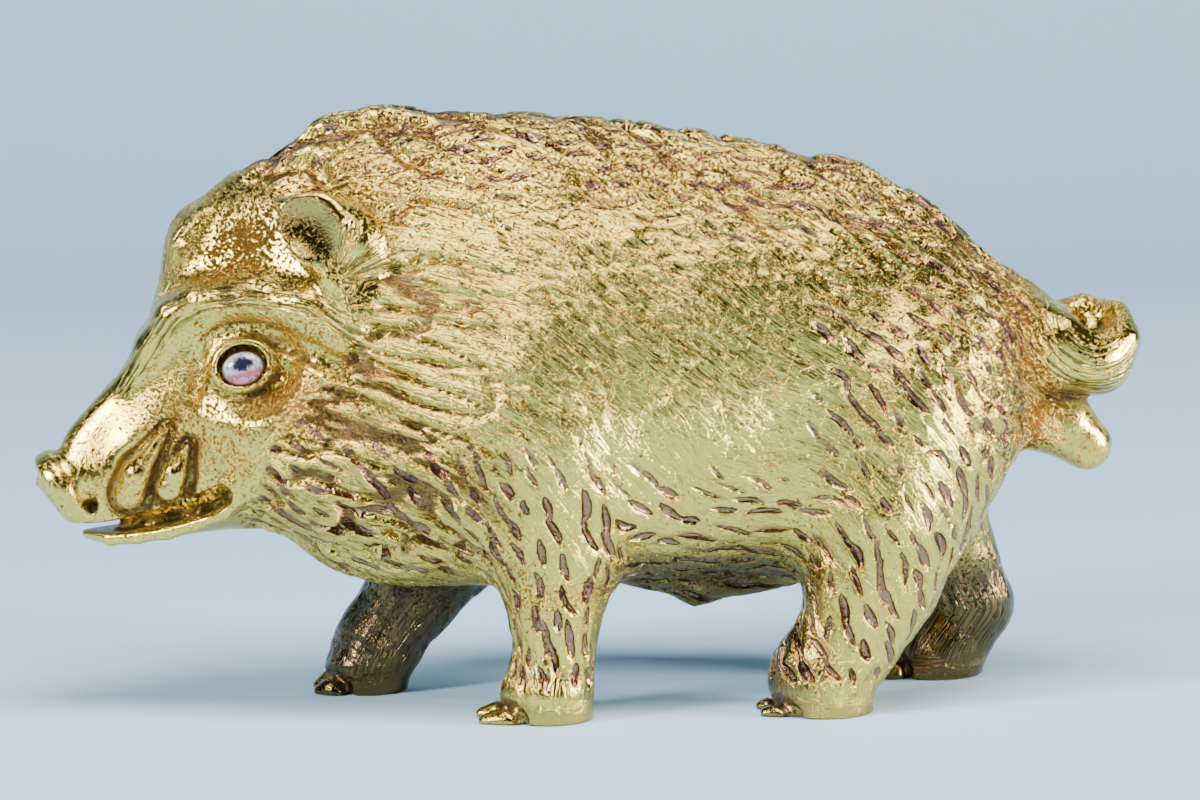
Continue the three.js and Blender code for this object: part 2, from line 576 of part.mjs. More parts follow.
function solidFrom(geometry) {
  const bare = geometry.clone();
  bare.deleteAttribute("normal");
  bare.deleteAttribute("uv");
  const merged = mergeVertices(bare, 1e-5);
  return new wasm.Manifold(
    new wasm.Mesh({
      numProp: 3,
      vertProperties: new Float32Array(merged.attributes.position.array),
      triVerts: new Uint32Array(merged.index.array),
    }),
  );
}

// The points and faces of a solid, as rows of three
function rowsOf(solid) {
  const { vertProperties, triVerts } = solid.getMesh();
  const rows = (flat) => Array.from({ length: flat.length / 3 }, (_, i) => [...flat.slice(3 * i, 3 * i + 3)]);
  return { points: rows(vertProperties), faces: rows(triVerts) };
}

// Leaves out any small closed surface apart from the main one, such as a bubble sealed inside it
function outerShell({ points, faces }) {
  const parent = points.map((_, i) => i);
  const root = (i) => {
    while (parent[i] !== i) i = parent[i] = parent[parent[i]];
    return i;
  };
  for (const [a, b, c] of faces) {
    parent[root(b)] = root(a);
    parent[root(c)] = root(a);
  }
  const size = new Map();
  for (const [a] of faces) size.set(root(a), (size.get(root(a)) ?? 0) + 1);
  const main = [...size].reduce((best, entry) => (entry[1] > best[1] ? entry : best))[0];
  return { points, faces: faces.filter(([a]) => root(a) === main) };
}

function geometryOf({ points, faces }) {
  return new THREE.BufferGeometry()
    .setAttribute("position", new THREE.BufferAttribute(new Float32Array(points.flat()), 3))
    .setIndex(faces.flat());
}

function geometryFrom(solid) {
  const mesh = solid.getMesh();
  return new THREE.BufferGeometry()
    .setAttribute("position", new THREE.BufferAttribute(mesh.vertProperties, 3))
    .setIndex(new THREE.BufferAttribute(mesh.triVerts, 1));
}

// The angle of the hair at a place on the flank, from the nearest hair runs
function hairAngle(x, z) {
  let [c, s] = [0, 0];
  for (const [hx, hz, degrees] of HAIR_RUNS) {
    const weight = 1 / ((x - hx) ** 2 + (z - hz) ** 2 + 4) ** 2;
    c += weight * Math.cos((degrees * Math.PI) / 180);
    s += weight * Math.sin((degrees * Math.PI) / 180);
  }
  return Math.atan2(s, c);
}

// The point of the casting's side under (x, z), with the outward normal there
function sidePoint(x, z, side) {
  const p = new THREE.Vector3(x, side * 17, z);
  for (let i = 0; i < 60; i++) {
    const d = boar(p.x, p.y, p.z);
    p.y -= side * d * 0.7;
    if (p.y * side < 0) return null;
    if (Math.abs(d) < 0.01) return { p, n: gradient(p.x, p.y, p.z).normalize() };
  }
  return null;
}

// One chisel stroke: a long thin double pyramid half sunk in the surface
function strokeCutter({ p, n }, angle) {
  const along = new THREE.Vector3(Math.cos(angle), 0, -Math.sin(angle));
  const frame = frameOf(along.toArray(), n.toArray());
  const cutter = new THREE.OctahedronGeometry(1);
  const basis = new THREE.Matrix4().makeBasis(frame.x, frame.y, frame.z);
  cutter.scale(STROKE_LENGTH / 2 / UNIT, STROKE_WIDTH / 2 / UNIT, STROKE_DEPTH / UNIT);
  return cutter.applyMatrix4(basis).translate(p.x, p.y, p.z);
}

function coatCutters() {
  const { from, to, pitch, scatter } = STROKE_ROWS;
  const cutters = [];
  let count = 0;
  const stray = (rate) => ((count * rate) % 1) - 0.5;
  for (const side of [-1, 1])
    for (let row = 0, z = from[1]; z <= to[1]; z += pitch[1], row++)
      for (let x = from[0] + (row % 2) * (pitch[0] / 2); x <= to[0]; x += pitch[0]) {
        count++;
        const [px, pz] = [x + scatter[0] * stray(0.618), z + scatter[1] * stray(0.755)];
        if (px < EAR_AND_BROW[0] && pz > EAR_AND_BROW[1]) continue;
        const spot = sidePoint(px, pz, side);
        if (spot && Math.abs(spot.n.y) > 0.3) cutters.push(strokeCutter(spot, hairAngle(px, pz)));
      }
  return cutters;
}

// The glass eye, an oval lens domed on both faces; grown by the clearance, it cuts its own socket
function lens(grow) {
  const half = EYE_THICKNESS / 2 / UNIT + grow;
  return new THREE.SphereGeometry(1, 16, 9).scale(EYE_RADII[0] + grow, EYE_RADII[1] + grow, half);
}

function placedEye(geometry, side) {
  const basis = new THREE.Matrix4().makeBasis(eyeFrame.x, eyeFrame.y, eyeFrame.z);
  geometry.applyMatrix4(basis).translate(...EYE);
  if (side > 0) return geometry;
  geometry.scale(1, -1, 1);
  const index = geometry.index.array;
  for (let i = 0; i < index.length; i += 3) [index[i + 1], index[i + 2]] = [index[i + 2], index[i + 1]];
  return geometry;
}

function casting() {
  const uncut = solidFrom(geometryOf(simplified(outerShell(surfaceMesh()), UNCUT_TRIANGLES)));
  const carved = wasm.Manifold.difference([uncut, ...coatCutters().map(solidFrom)]);
  const form = solidFrom(geometryOf(simplified(outerShell(rowsOf(carved)), CUT_TRIANGLES)));
  const [low, high] = reach();
  const [long, wide, deep] = [high[0] - low[0], high[1] - low[1], -low[2]];
  const ground = new THREE.BoxGeometry(long, wide, deep).translate(0, 0, -deep / 2);
  const sockets = [-1, 1].map((side) => placedEye(lens(EYE_CLEARANCE / UNIT), side));
  return wasm.Manifold.difference([form, ...[ground, ...sockets].map(solidFrom)]);
}

function bronze() {
  return new THREE.MeshStandardMaterial({ color: 0xb39a5a, metalness: 1, roughness: 0.28 });
}

function eyeGlass() {
  return new THREE.MeshStandardMaterial({ color: 0xcfc4cb, metalness: 0, roughness: 0.08 });
}

function named(name, geometry, material) {
  const mesh = new THREE.Mesh(geometry, material);
  mesh.name = name;
  return mesh;
}

const figure = new THREE.Group();
const body = geometryFrom(casting());
body.computeBoundingBox();
const middle = body.boundingBox.getCenter(new THREE.Vector3());
figure.add(named("boar", body, bronze()));
figure.add(named("eye_left", placedEye(lens(0), -1), eyeGlass()));
figure.add(named("eye_right", placedEye(lens(0), 1), eyeGlass()));
figure.scale.setScalar(UNIT);
figure.position.set(-middle.x * UNIT, -middle.y * UNIT, 0);

const part = new THREE.Group();
part.add(figure);
export default part;
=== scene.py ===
"""A small cast-bronze wild boar with glass eyes, chiselled and polished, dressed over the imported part."""

import json
import logging
import math
from collections.abc import Callable
from dataclasses import dataclass
from enum import Enum

import bpy
import numpy as np
from mathutils import Matrix, Vector
from mathutils.kdtree import KDTree

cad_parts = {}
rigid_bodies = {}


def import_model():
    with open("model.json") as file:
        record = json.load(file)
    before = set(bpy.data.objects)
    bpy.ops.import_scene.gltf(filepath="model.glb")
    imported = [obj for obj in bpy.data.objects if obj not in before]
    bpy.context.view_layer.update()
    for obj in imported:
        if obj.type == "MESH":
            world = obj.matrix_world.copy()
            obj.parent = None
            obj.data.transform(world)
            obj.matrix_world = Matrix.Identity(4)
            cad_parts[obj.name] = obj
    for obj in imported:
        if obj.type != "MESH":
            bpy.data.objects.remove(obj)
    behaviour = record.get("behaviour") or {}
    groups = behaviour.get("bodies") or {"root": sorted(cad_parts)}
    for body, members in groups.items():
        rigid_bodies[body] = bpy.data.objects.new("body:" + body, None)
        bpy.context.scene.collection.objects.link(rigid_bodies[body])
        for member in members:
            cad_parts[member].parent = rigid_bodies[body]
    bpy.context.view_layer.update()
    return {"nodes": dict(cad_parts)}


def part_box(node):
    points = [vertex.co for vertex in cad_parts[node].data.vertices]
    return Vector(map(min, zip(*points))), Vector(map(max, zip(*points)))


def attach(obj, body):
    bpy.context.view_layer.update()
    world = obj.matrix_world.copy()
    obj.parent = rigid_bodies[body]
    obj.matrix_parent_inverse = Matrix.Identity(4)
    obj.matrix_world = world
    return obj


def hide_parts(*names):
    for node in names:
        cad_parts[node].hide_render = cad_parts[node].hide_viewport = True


LOG = logging.getLogger("boar")
MM = 0.001
FULL_SPACING = 0.3  # of the body's grid, in hundredths of the length
Array = np.ndarray
Row = tuple[float, ...]
Shape = Callable[[Array], Array]


class Slot(Enum):
    """The record's material slots."""

    BRONZE = "bronze"
    EYE_GLASS = "eye_glass"


class Side(Enum):
    """The boar's own left and right, as the sign of Y."""

    LEFT = -1
    RIGHT = 1


# Ways of joining distances, all in hundredths of the boar's length


def blended(a: Array, b: Array, band: float | Array) -> Array:
    """The union of two distances, softened over a band."""
    h = np.maximum(band - np.abs(a - b), 0) / band
    return np.minimum(a, b) - h * h * band * 0.25


def carved(a: Array, b: Array, band: float | Array) -> Array:
    """Distance a with b cut out of it, softened over a band."""
    return -blended(-a, b, band)


def smoothstep(low: float, high: float, value: Array) -> Array:
    """0 at low, 1 at high, with a smooth rise between them."""
    t = np.clip((value - low) / (high - low), 0, 1)
    return t * t * (3 - 2 * t)


def falling(low: float, high: float, value: Array) -> Array:
    """1 at low, 0 at high, with a smooth fall between them."""
    return 1 - smoothstep(low, high, value)


def to_right(p: Array) -> Array:
    """Points with those of the left side mirrored to the right."""
    return np.column_stack([p[:, 0], np.abs(p[:, 1]), p[:, 2]])


def length_of(vectors: Array) -> Array:
    """The length of each row."""
    return np.sqrt(np.einsum("ij,ij->i", vectors, vectors))


def unit(vectors: Array) -> Array:
    """Each row at length 1."""
    return vectors / np.maximum(length_of(vectors), 1e-9)[:, None]


def round_cone(p: Array, a: Row, b: Row) -> Array:
    """Distance to a cone with a ball at each end.

    Args:
        p: Points, one a row.
        a: First ball: x, y, z, radius.
        b: Second ball.

    Returns:
        Signed distances, negative inside.
    """
    start, span = np.array(a[:3]), np.array(b[:3]) - np.array(a[:3])
    offset = p - start
    length2 = float(span @ span)
    fall = a[3] - b[3]
    flank = length2 - fall * fall
    along = offset @ span
    beyond = along - length2
    across = offset * length2 - along[:, None] * span
    x2 = np.einsum("ij,ij->i", across, across)
    y2 = along * along * length2
    z2 = beyond * beyond * length2
    k = np.sign(fall) * fall * fall * x2
    side = (np.sqrt(x2 * flank / length2) + along * fall) / length2 - a[3]
    near_start = np.where(np.sign(along) * flank * y2 < k, np.sqrt(x2 + y2) / length2 - a[3], side)
    return np.where(np.sign(beyond) * flank * z2 > k, np.sqrt(x2 + z2) / length2 - b[3], near_start)


def chain(p: Array, balls: tuple[Row, ...], band: float) -> Array:
    """Distance to balls joined in a row by cones."""
    d = round_cone(p, balls[0], balls[1])
    for a, b in zip(balls[1:], balls[2:]):
        d = blended(d, round_cone(p, a, b), band)
    return d


def ellipsoid(p: Array, centre: Row, radii: Row) -> Array:
    """Near distance to an ellipsoid."""
    q = (p - np.array(centre)) / np.array(radii)
    k0 = length_of(q)
    k1 = np.maximum(length_of(q / np.array(radii)), 1e-9)
    return k0 * (k0 - 1) / k1


def turned(along: Row, facing: Row) -> Array:
    """Rows of unit vectors along, across and facing, squared to each other."""
    z = np.array(facing) / np.linalg.norm(facing)
    x = np.array(along) - z * (np.array(along) @ z)
    x = x / np.linalg.norm(x)
    return np.array([x, np.cross(z, x), z])


def reach_of(balls: tuple[Row, ...]) -> tuple[Array, Array]:
    """The lowest and highest corner of a chain of balls."""
    rows = np.array(balls)
    return (rows[:, :3] - rows[:, 3:]).min(0), (rows[:, :3] + rows[:, 3:]).max(0)


@dataclass(frozen=True)
class Eye:
    """The place and size of the glass eye on the right side; the left is its mirror image."""

    length_mm: float = 5.2
    height_mm: float = 4.1
    thickness_mm: float = 2.4
    clearance_mm: float = 0.3
    centre: Row = (-31.4, 7.35, 32.0)
    facing: Row = (-0.16, 0.97, 0.16)
    turn: float = 0.2

    def axes(self) -> Array:
        """Unit vectors along the oval, across it and out of the socket."""
        return turned((math.cos(self.turn), 0, math.sin(self.turn)), self.facing)


@dataclass(frozen=True)
class BoarForm:
    """The casting's smooth form, in hundredths of its length, nose towards -X.

    A ball is a row of x, y, z and radius, and a chain is balls joined by cones. An ellipsoid is its
    centre and its half sizes. The head's features are given for the right side and mirrored.
    """

    # Cross-sections: x, heights of the lowest, widest and highest point, half width
    stations: tuple[Row, ...] = (
        (-48.0, 18.2, 21.0, 24.2, 2.7),
        (-45.2, 16.0, 20.7, 26.8, 3.3),
        (-42.5, 15.2, 20.4, 29.4, 4.1),
        (-39.9, 15.4, 20.6, 35.5, 4.8),
        (-37.5, 15.8, 21.0, 42.8, 5.6),
        (-34.8, 16.2, 22.5, 46.3, 6.9),
        (-31.5, 16.3, 24.5, 49.0, 8.4),
        (-28.0, 15.4, 26.5, 51.5, 9.8),
        (-24.5, 12.8, 28.0, 53.5, 11.0),
        (-20.0, 11.0, 29.0, 54.6, 12.3),
        (-13.0, 10.6, 29.5, 54.4, 13.7),
        (-3.0, 10.6, 29.5, 53.6, 14.4),
        (8.0, 10.8, 29.5, 52.3, 14.4),
        (18.0, 11.0, 29.5, 50.3, 14.0),
        (25.0, 11.8, 29.5, 48.6, 13.3),
        (31.0, 13.6, 30.0, 45.1, 11.8),
        (36.0, 17.5, 30.5, 40.8, 9.2),
        (39.5, 22.0, 31.0, 38.2, 6.0),
        (42.0, 27.5, 31.5, 36.1, 3.4),
    )
    power_above: float = 1.85
    power_below: float = 2.15
    # From the top down to the sole: front left, front right, hind left, hind right
    legs: tuple[tuple[Row, ...], ...] = (
        ((-3.5, -7.0, 24, 7.4), (-3.3, -7.8, 15, 5.6), (-4.2, -8.2, 9.6, 4.4), (-4.4, -8.2, 5.2, 3.8),
         (-5.0, -8.2, 2.6, 4.1), (-4.6, -8.2, -2, 3.8)),
        ((-7.5, 7.0, 24, 7.4), (-12.2, 7.8, 14, 5.6), (-16.2, 8.2, 8.6, 4.5), (-19.2, 8.2, 4.6, 4.1),
         (-20.4, 8.2, 2.4, 3.7), (-20.0, 8.2, -2, 3.2)),
        ((28.0, -6.2, 28, 8.6), (26.0, -7.6, 18, 7.6), (24.4, -8.2, 11.5, 6.1), (22.4, -8.4, 7.0, 4.9),
         (19.6, -8.4, 3.2, 4.6), (20.4, -8.4, -2, 4.1)),
        ((29.5, 6.2, 28, 8.6), (31.0, 7.6, 17, 6.4), (34.2, 8.2, 10.5, 4.6), (36.0, 8.4, 6.6, 4.1),
         (33.4, 8.4, 2.8, 4.2), (31.8, 8.4, -2, 4.0)),
    )
    toe_reach: Row = (6.0, 4.7, 5.8, 4.9)
    toe_spread: float = 1.6
    toe_radius: Row = (1.7, 0.7)
    toe_seam: Row = (0.22, 0.45)  # half width, depth
    tail: tuple[Row, ...] = (
        (37.5, 0.0, 31.8, 5.0), (42.3, -1.2, 31.2, 4.0), (45.9, -1.6, 30.4, 3.5),
        (47.6, -0.6, 31.6, 2.6), (47.5, 0.9, 33.4, 2.0), (45.4, 1.8, 34.3, 1.6), (43.3, 1.8, 34.3, 1.2),
    )
    tail_ridges: tuple[tuple[Row, ...], ...] = (
        ((39.4, -1.8, 34.0, 2.1), (42.4, -3.1, 32.7, 1.9), (45.2, -3.6, 30.2, 1.8)),
        ((45.8, -3.5, 29.8, 1.7), (48.2, -2.3, 32.0, 1.6), (48.0, -0.4, 34.0, 1.5)),
    )
    tail_pit: Row = (45.5, -2.3, 34.4, 1.7)
    tail_tip: tuple[Row, ...] = ((38.5, 0.0, 25.0, 3.2), (42.9, -0.7, 24.4, 3.1), (45.2, -0.9, 22.4, 2.5))
    muscles: tuple[tuple[Row, Row], ...] = (
        ((-7.0, 8.6, 26.0), (7.5, 6.6, 13.0)),
        ((30.0, 7.4, 27.0), (8.0, 6.6, 11.0)),
    )
    flank: tuple[Row, Row] = ((16.5, 17.6, 21.0), (5.5, 4.0, 9.0))
    belly_keel: tuple[Row, ...] = ((3.5, 0, 12.2, 1.4), (9.4, 0, 10.2, 2.0), (18.5, 0, 11.8, 2.0))
    snout_centre: Row = (-47.7, 0, 20.8)
    snout_facing: Row = (-0.86, 0, -0.51)
    snout_size: Row = (3.6, 1.2, 0.85)  # radius, half thickness, rounding
    snout_groove: Row = (1.5, 3.75, 0.45)  # how far behind the disc, radius, half width
    nostril: Row = (-48.35, 1.5, 19.3, 0.8)
    nose_bridge: tuple[Row, ...] = ((-45.4, 0, 24.9, 1.8), (-41.8, 0, 28.4, 2.2))
    tusks: tuple[tuple[Row, ...], ...] = (
        ((-38.2, 4.6, 26.2, 0.3), (-40.9, 4.5, 22.3, 1.35), (-41.6, 4.1, 20.4, 1.5)),
        ((-36.4, 5.7, 24.8, 0.3), (-37.6, 5.6, 22.4, 1.2), (-38.05, 5.4, 21.1, 1.4)),
    )
    tusk_moat: Row = (0.5, 0.9)  # width, depth
    # Rows of x, z and half width, as for the crease
    mouth: tuple[Row, ...] = (
        (-47.2, 17.0, 0.25), (-45.5, 17.1, 0.3), (-42.8, 17.35, 0.45), (-39.9, 18.0, 0.6),
        (-37.5, 18.65, 0.7), (-35.0, 19.65, 0.9), (-33.6, 20.4, 0.85),
    )
    mouth_depth: float = 1.5
    mouth_through: float = -44.8
    lip: tuple[Row, ...] = (
        (-45.3, 0.6, 16.5, 0.7), (-43.4, 2.2, 16.3, 0.85), (-41.0, 3.2, 16.6, 0.9),
        (-38.4, 4.2, 17.1, 0.95), (-35.7, 5.2, 18.0, 0.95), (-33.3, 6.4, 19.0, 0.9),
        (-32.1, 7.3, 20.2, 0.8), (-32.3, 7.5, 21.4, 0.65), (-33.4, 7.1, 21.9, 0.45),
    )
    brow: tuple[Row, ...] = (
        (-41.3, 1.5, 30.0, 1.2), (-39.2, 2.5, 33.2, 1.5), (-37.3, 3.6, 35.9, 1.7), (-34.9, 4.7, 37.4, 1.8),
        (-30.7, 6.8, 38.0, 1.9), (-25.8, 8.9, 37.3, 1.8), (-22.3, 10.2, 34.9, 1.4),
    )
    crease: tuple[Row, ...] = (
        (-36.0, 28.4, 0.25), (-35.5, 30.4, 0.5), (-35.1, 32.2, 0.65), (-34.3, 33.7, 0.7), (-33.1, 34.6, 0.7),
        (-31.4, 35.0, 0.75), (-29.4, 34.8, 0.8), (-27.6, 34.1, 0.8), (-25.4, 33.2, 0.8), (-23.4, 32.2, 0.7),
    )
    crease_depth: float = 0.75
    eye_rim: float = 0.5
    socket: tuple[Row, Row] = ((-31.6, 9.6, 31.9), (5.0, 2.6, 4.2))
    cheek: tuple[Row, Row] = ((-24.5, 7.4, 24.5), (6.5, 4.2, 7.5))
    cheekbone: tuple[Row, ...] = ((-34.6, 5.6, 27.3, 0.8), (-30.6, 7.4, 26.2, 1.4), (-26.6, 9.2, 28.2, 1.3))
    forelock: tuple[Row, Row] = ((-35.2, 0, 41.4), (2.8, 3.2, 4.2))
    lock_of_hair: tuple[Row, ...] = (
        (-36.3, 1.5, 39.6, 0.8), (-36.0, 1.8, 42.2, 1.4), (-34.4, 1.8, 44.8, 1.0),
    )
    ear_low: Row = (-23.1, 10.4, 40.6, 1.0)
    ear_high: Row = (-24.3, 10.4, 44.0, 3.4)
    ear_tip: Row = (-28.1, 9.2, 46.5, 0.5)
    ear_back: Row = (-22.2, 9.4, 42.8, 2.8)
    ear_root: Row = (-22.0, 9.3, 37.6, 1.9)
    ear_scoop: tuple[Row, Row] = ((-23.2, 12.0, 41.2, 0.8), (-26.0, 14.6, 45.2, 4.4))
    ear_soft_from: float = -26.5
    eye: Eye = Eye()
    mm: float = 1 / 1.3
    head_before: float = -14.0
    tail_from: float = 30.0

    def curve(self, column: int, x: Array) -> Array:
        """A smooth curve through one column of the stations.

        Args:
            column: 1 lowest, 2 widest, 3 highest point, 4 half width.
            x: Places along the body.

        Returns:
            The column's value at each place.
        """
        rows = np.array(self.stations)
        xs, values = rows[:, 0], rows[:, column]
        gaps = np.diff(xs)
        slopes = np.diff(values) / gaps
        inner = (slopes[1:] * gaps[:-1] + slopes[:-1] * gaps[1:]) / (gaps[:-1] + gaps[1:])
        tangents = np.concatenate([slopes[:1], inner, slopes[-1:]])
        i = np.clip(np.searchsorted(xs, x, side="right") - 1, 0, len(xs) - 2)
        t = np.clip((x - xs[i]) / gaps[i], 0, 1)
        s = 1 - t
        rise = tangents[i] * gaps[i] * t * s * s - tangents[i + 1] * gaps[i] * t * t * s
        return values[i] * s * s * (1 + 2 * t) + values[i + 1] * t * t * (3 - 2 * t) + rise

    def section_gap(self, x: Array, y: Array, z: Array) -> Array:
        """How far each point lies from the superellipse of its own cross-section."""
        middle, half = self.curve(2, x), self.curve(4, x)
        up = z > middle
        reach = np.where(up, self.curve(3, x) - middle, middle - self.curve(1, x))
        power = np.where(up, self.power_above, self.power_below)
        rho = np.maximum(np.hypot(y, z - middle), 1e-4)
        g = (np.abs(y / half) ** power + np.abs((z - middle) / reach) ** power) ** (1 / power)
        return np.where(g < 1e-5, -np.minimum(reach, half), rho - rho / np.maximum(g, 1e-5))

    def trunk(self, p: Array) -> Array:
        """Distance to head and trunk as one plain hull."""
        step = 0.25
        x, y, z = p.T
        xc = np.clip(x, self.stations[0][0] + step, self.stations[-1][0] - step)
        slope = (self.section_gap(xc + step, y, z) - self.section_gap(xc - step, y, z)) / (2 * step)
        d = self.section_gap(xc, y, z) / np.hypot(1, slope)
        return np.where(x == xc, d, np.hypot(np.maximum(d, 0), x - xc) + np.minimum(d, 0))

    def snout_disc(self, p: Array) -> Array:
        """Distance to the round-edged disc at the end of the snout."""
        radius, half, rounding = self.snout_size
        q = p - np.array(self.snout_centre)
        along = np.abs(q @ np.array(self.snout_facing)) - half + rounding
        side = q[:, 0] * self.snout_facing[2] - q[:, 2] * self.snout_facing[0]
        across = np.hypot(q[:, 1], side) - radius + rounding
        outer = np.hypot(np.maximum(across, 0), np.maximum(along, 0))
        return np.minimum(np.maximum(across, along), 0) + outer - rounding

    def snout_ring(self, p: Array) -> Array:
        """Distance to the ring groove behind the snout's disc."""
        behind, radius, tube = self.snout_groove
        facing = np.array(self.snout_facing)
        q = p - np.array(self.snout_centre) + facing * behind
        side = q[:, 0] * self.snout_facing[2] - q[:, 2] * self.snout_facing[0]
        return np.hypot(np.hypot(q[:, 1], side) - radius, q @ facing) - tube

    def groove(self, d: Array, p: Array, path: tuple[Row, ...], depth: float | Array, band: float) -> Array:
        """Cuts a groove of even depth along a path on the flank.

        Args:
            d: Distances so far.
            p: Points.
            path: Rows of x, z and half width.
            depth: How deep below the surface.
            band: How wide its edges are rounded.

        Returns:
            Distances with the groove cut.
        """
        side = np.full(len(p), np.inf)
        for a, b in zip(path, path[1:]):
            ex, ez = b[0] - a[0], b[1] - a[1]
            t = np.clip(((p[:, 0] - a[0]) * ex + (p[:, 2] - a[1]) * ez) / (ex * ex + ez * ez), 0, 1)
            gap = np.hypot(p[:, 0] - a[0] - ex * t, p[:, 2] - a[1] - ez * t)
            side = np.minimum(side, gap - a[2] - (b[2] - a[2]) * t)
        return carved(d, np.maximum(side, -depth - d), band)

    def ear(self, p: Array) -> Array:
        """Distance to the cupped, leaf-shaped ear."""
        low, high, tip = (np.array(ball) for ball in (self.ear_low, self.ear_high, self.ear_tip))
        shell = blended(round_cone(p, low, high), round_cone(p, high + (tip - high) * 0.15, tip), 0.8)
        shell = blended(shell, round_cone(p, low, self.ear_back), 1.2)
        shell = blended(shell, round_cone(p, low, self.ear_root), 1.2)
        soft = np.clip(p[:, 0] - self.ear_soft_from, 0, 5)
        return carved(shell, round_cone(p, *self.ear_scoop), 0.3 + 0.6 * soft)

    def eyelids(self, p: Array) -> Array:
        """Distance to the oval ring standing round the glass."""
        q = (p - np.array(self.eye.centre)) @ self.eye.axes().T
        a = self.eye.length_mm / 2 * self.mm + self.eye_rim
        b = self.eye.height_mm / 2 * self.mm + self.eye_rim
        ring = (np.hypot(q[:, 0] / a, q[:, 1] / b) - 1) * b
        return np.hypot(ring, q[:, 2] * 0.8) - self.eye_rim

    def eye_socket(self, p: Array) -> Array:
        """Distance to the glass eye grown by its clearance."""
        grow = self.eye.clearance_mm
        sizes = (self.eye.length_mm, self.eye.height_mm, self.eye.thickness_mm)
        radii = tuple((size / 2 + grow) * self.mm for size in sizes)
        return ellipsoid((p - np.array(self.eye.centre)) @ self.eye.axes().T, (0, 0, 0), radii)

    def face(self, d: Array, p: Array) -> Array:
        """Adds the features of the head, for points with y positive."""
        d = carved(d, self.snout_ring(p), 0.8)
        d = blended(d, chain(p, self.nose_bridge, 0.5), 1.5)
        d = blended(d, ellipsoid(p, *self.cheek), 3)
        d = blended(d, ellipsoid(p, *self.forelock), 1.6)
        d = blended(d, chain(p, self.lock_of_hair, 0.4), 0.9)
        d = blended(d, chain(p, self.brow, 1.4), 1.4)
        d = carved(d, ellipsoid(p, *self.socket), 1.1)
        d = self.groove(d, p, self.crease, self.crease_depth, 0.9)
        d = blended(d, chain(p, self.cheekbone, 0.6), 1.6)
        d = blended(d, self.eyelids(p), 0.4)
        d = blended(d, self.ear(p), 0.9 + 0.5 * np.clip(p[:, 0] - self.ear_soft_from, 0, 5))
        d = blended(d, chain(p, self.lip, 0.4), 0.6)
        d = self.groove(d, p, self.mouth, np.where(p[:, 0] < self.mouth_through, 9, self.mouth_depth), 0.5)
        drops = [chain(p, tusk, 0.5) for tusk in self.tusks]
        beside, depth = self.tusk_moat
        d = carved(d, np.maximum(np.minimum(*drops) - beside, -depth - d), 0.9)
        for drop in drops:
            d = blended(d, drop, 0.15)
        d = carved(d, length_of(p - np.array(self.nostril[:3])) - self.nostril[3], 0.3)
        return np.maximum(d, -self.eye_socket(p))

    def leg(self, p: Array, index: int) -> Array:
        """Distance to one leg and its two toes."""
        balls = self.legs[index]
        foot = balls[-1]
        d = chain(p, balls, 1.2)
        for side in (-1, 1):
            y = foot[1] + side * self.toe_spread
            root = (foot[0] - 3.2, y, 0.4, self.toe_radius[0])
            tip = (foot[0] - self.toe_reach[index], y, 0.3, self.toe_radius[1])
            toe = round_cone(p, root, tip)
            joined = np.minimum(d, toe)
            half, depth = self.toe_seam
            d = carved(joined, np.maximum(np.abs(toe - d) / 2 - half, -depth - joined), 0.2)
        return d

    def distance(self, p: Array) -> Array:
        """Signed distance to the whole casting, cut flat at the ground.

        Args:
            p: Points, one a row, in hundredths of the length.

        Returns:
            Distances, negative inside.
        """
        q = to_right(p)
        d = blended(self.trunk(p), self.snout_disc(p), 1.2)
        head = p[:, 0] <= self.head_before
        d[head] = self.face(d[head], q[head])
        for centre, radii in self.muscles:
            d = self.joined(d, q, lambda s, c=centre, r=radii: ellipsoid(s, c, r),
                            (np.array(centre) - radii, np.array(centre) + radii), 3)
        d = carved(d, ellipsoid(q, *self.flank), 2.5)
        d = self.joined(d, p, lambda s: chain(s, self.belly_keel, 1), reach_of(self.belly_keel), 2.5)
        for i, balls in enumerate(self.legs):
            low, high = reach_of(balls)
            d = self.joined(d, p, lambda s, n=i: self.leg(s, n), (low - np.array([5, 2, 0]), high), 3.2)
        rear = p[:, 0] >= self.tail_from
        d[rear] = self.hind_end(d[rear], p[rear])
        return np.maximum(d, -p[:, 2])

    def hind_end(self, d: Array, p: Array) -> Array:
        """Adds the curled tail and its hanging tip."""
        d = blended(d, chain(p, self.tail, 0.5), 1.2)
        for ridge in self.tail_ridges:
            d = blended(d, chain(p, ridge, 0.4), 0.9)
        pit = length_of(p - np.array(self.tail_pit[:3])) - self.tail_pit[3]
        return blended(carved(d, pit, 0.9), chain(p, self.tail_tip, 0.5), 0.7)

    @staticmethod
    def joined(d: Array, p: Array, shape: Shape, reach: tuple[Array, Array], band: float) -> Array:
        """Blends a shape in, working it out only near its own reach."""
        near = np.all((p > reach[0] - band - 2) & (p < reach[1] + band + 2), axis=1)
        d = d.copy()
        d[near] = blended(d[near], shape(p[near]), band)
        return d

    def hollow(self, p: Array, normals: Array) -> Array:
        """How closely other metal stands round each point, 0 in the open and 1 deep in a crevice."""
        outside = p - normals * self.distance(p)[:, None]
        near, far = (1 - self.distance(outside + normals * reach) / reach for reach in (0.5, 1.4))
        return np.clip(0.8 * near + 0.6 * far, 0, 1)

    def gradient(self, p: Array, step: float = 0.06) -> Array:
        """The field's slope at each point, from four samples about it."""
        corners = np.array([[1, -1, -1], [-1, -1, 1], [-1, 1, -1], [1, 1, 1]], float)
        return sum(c * self.distance(p + c * step)[:, None] for c in corners) / (4 * step)


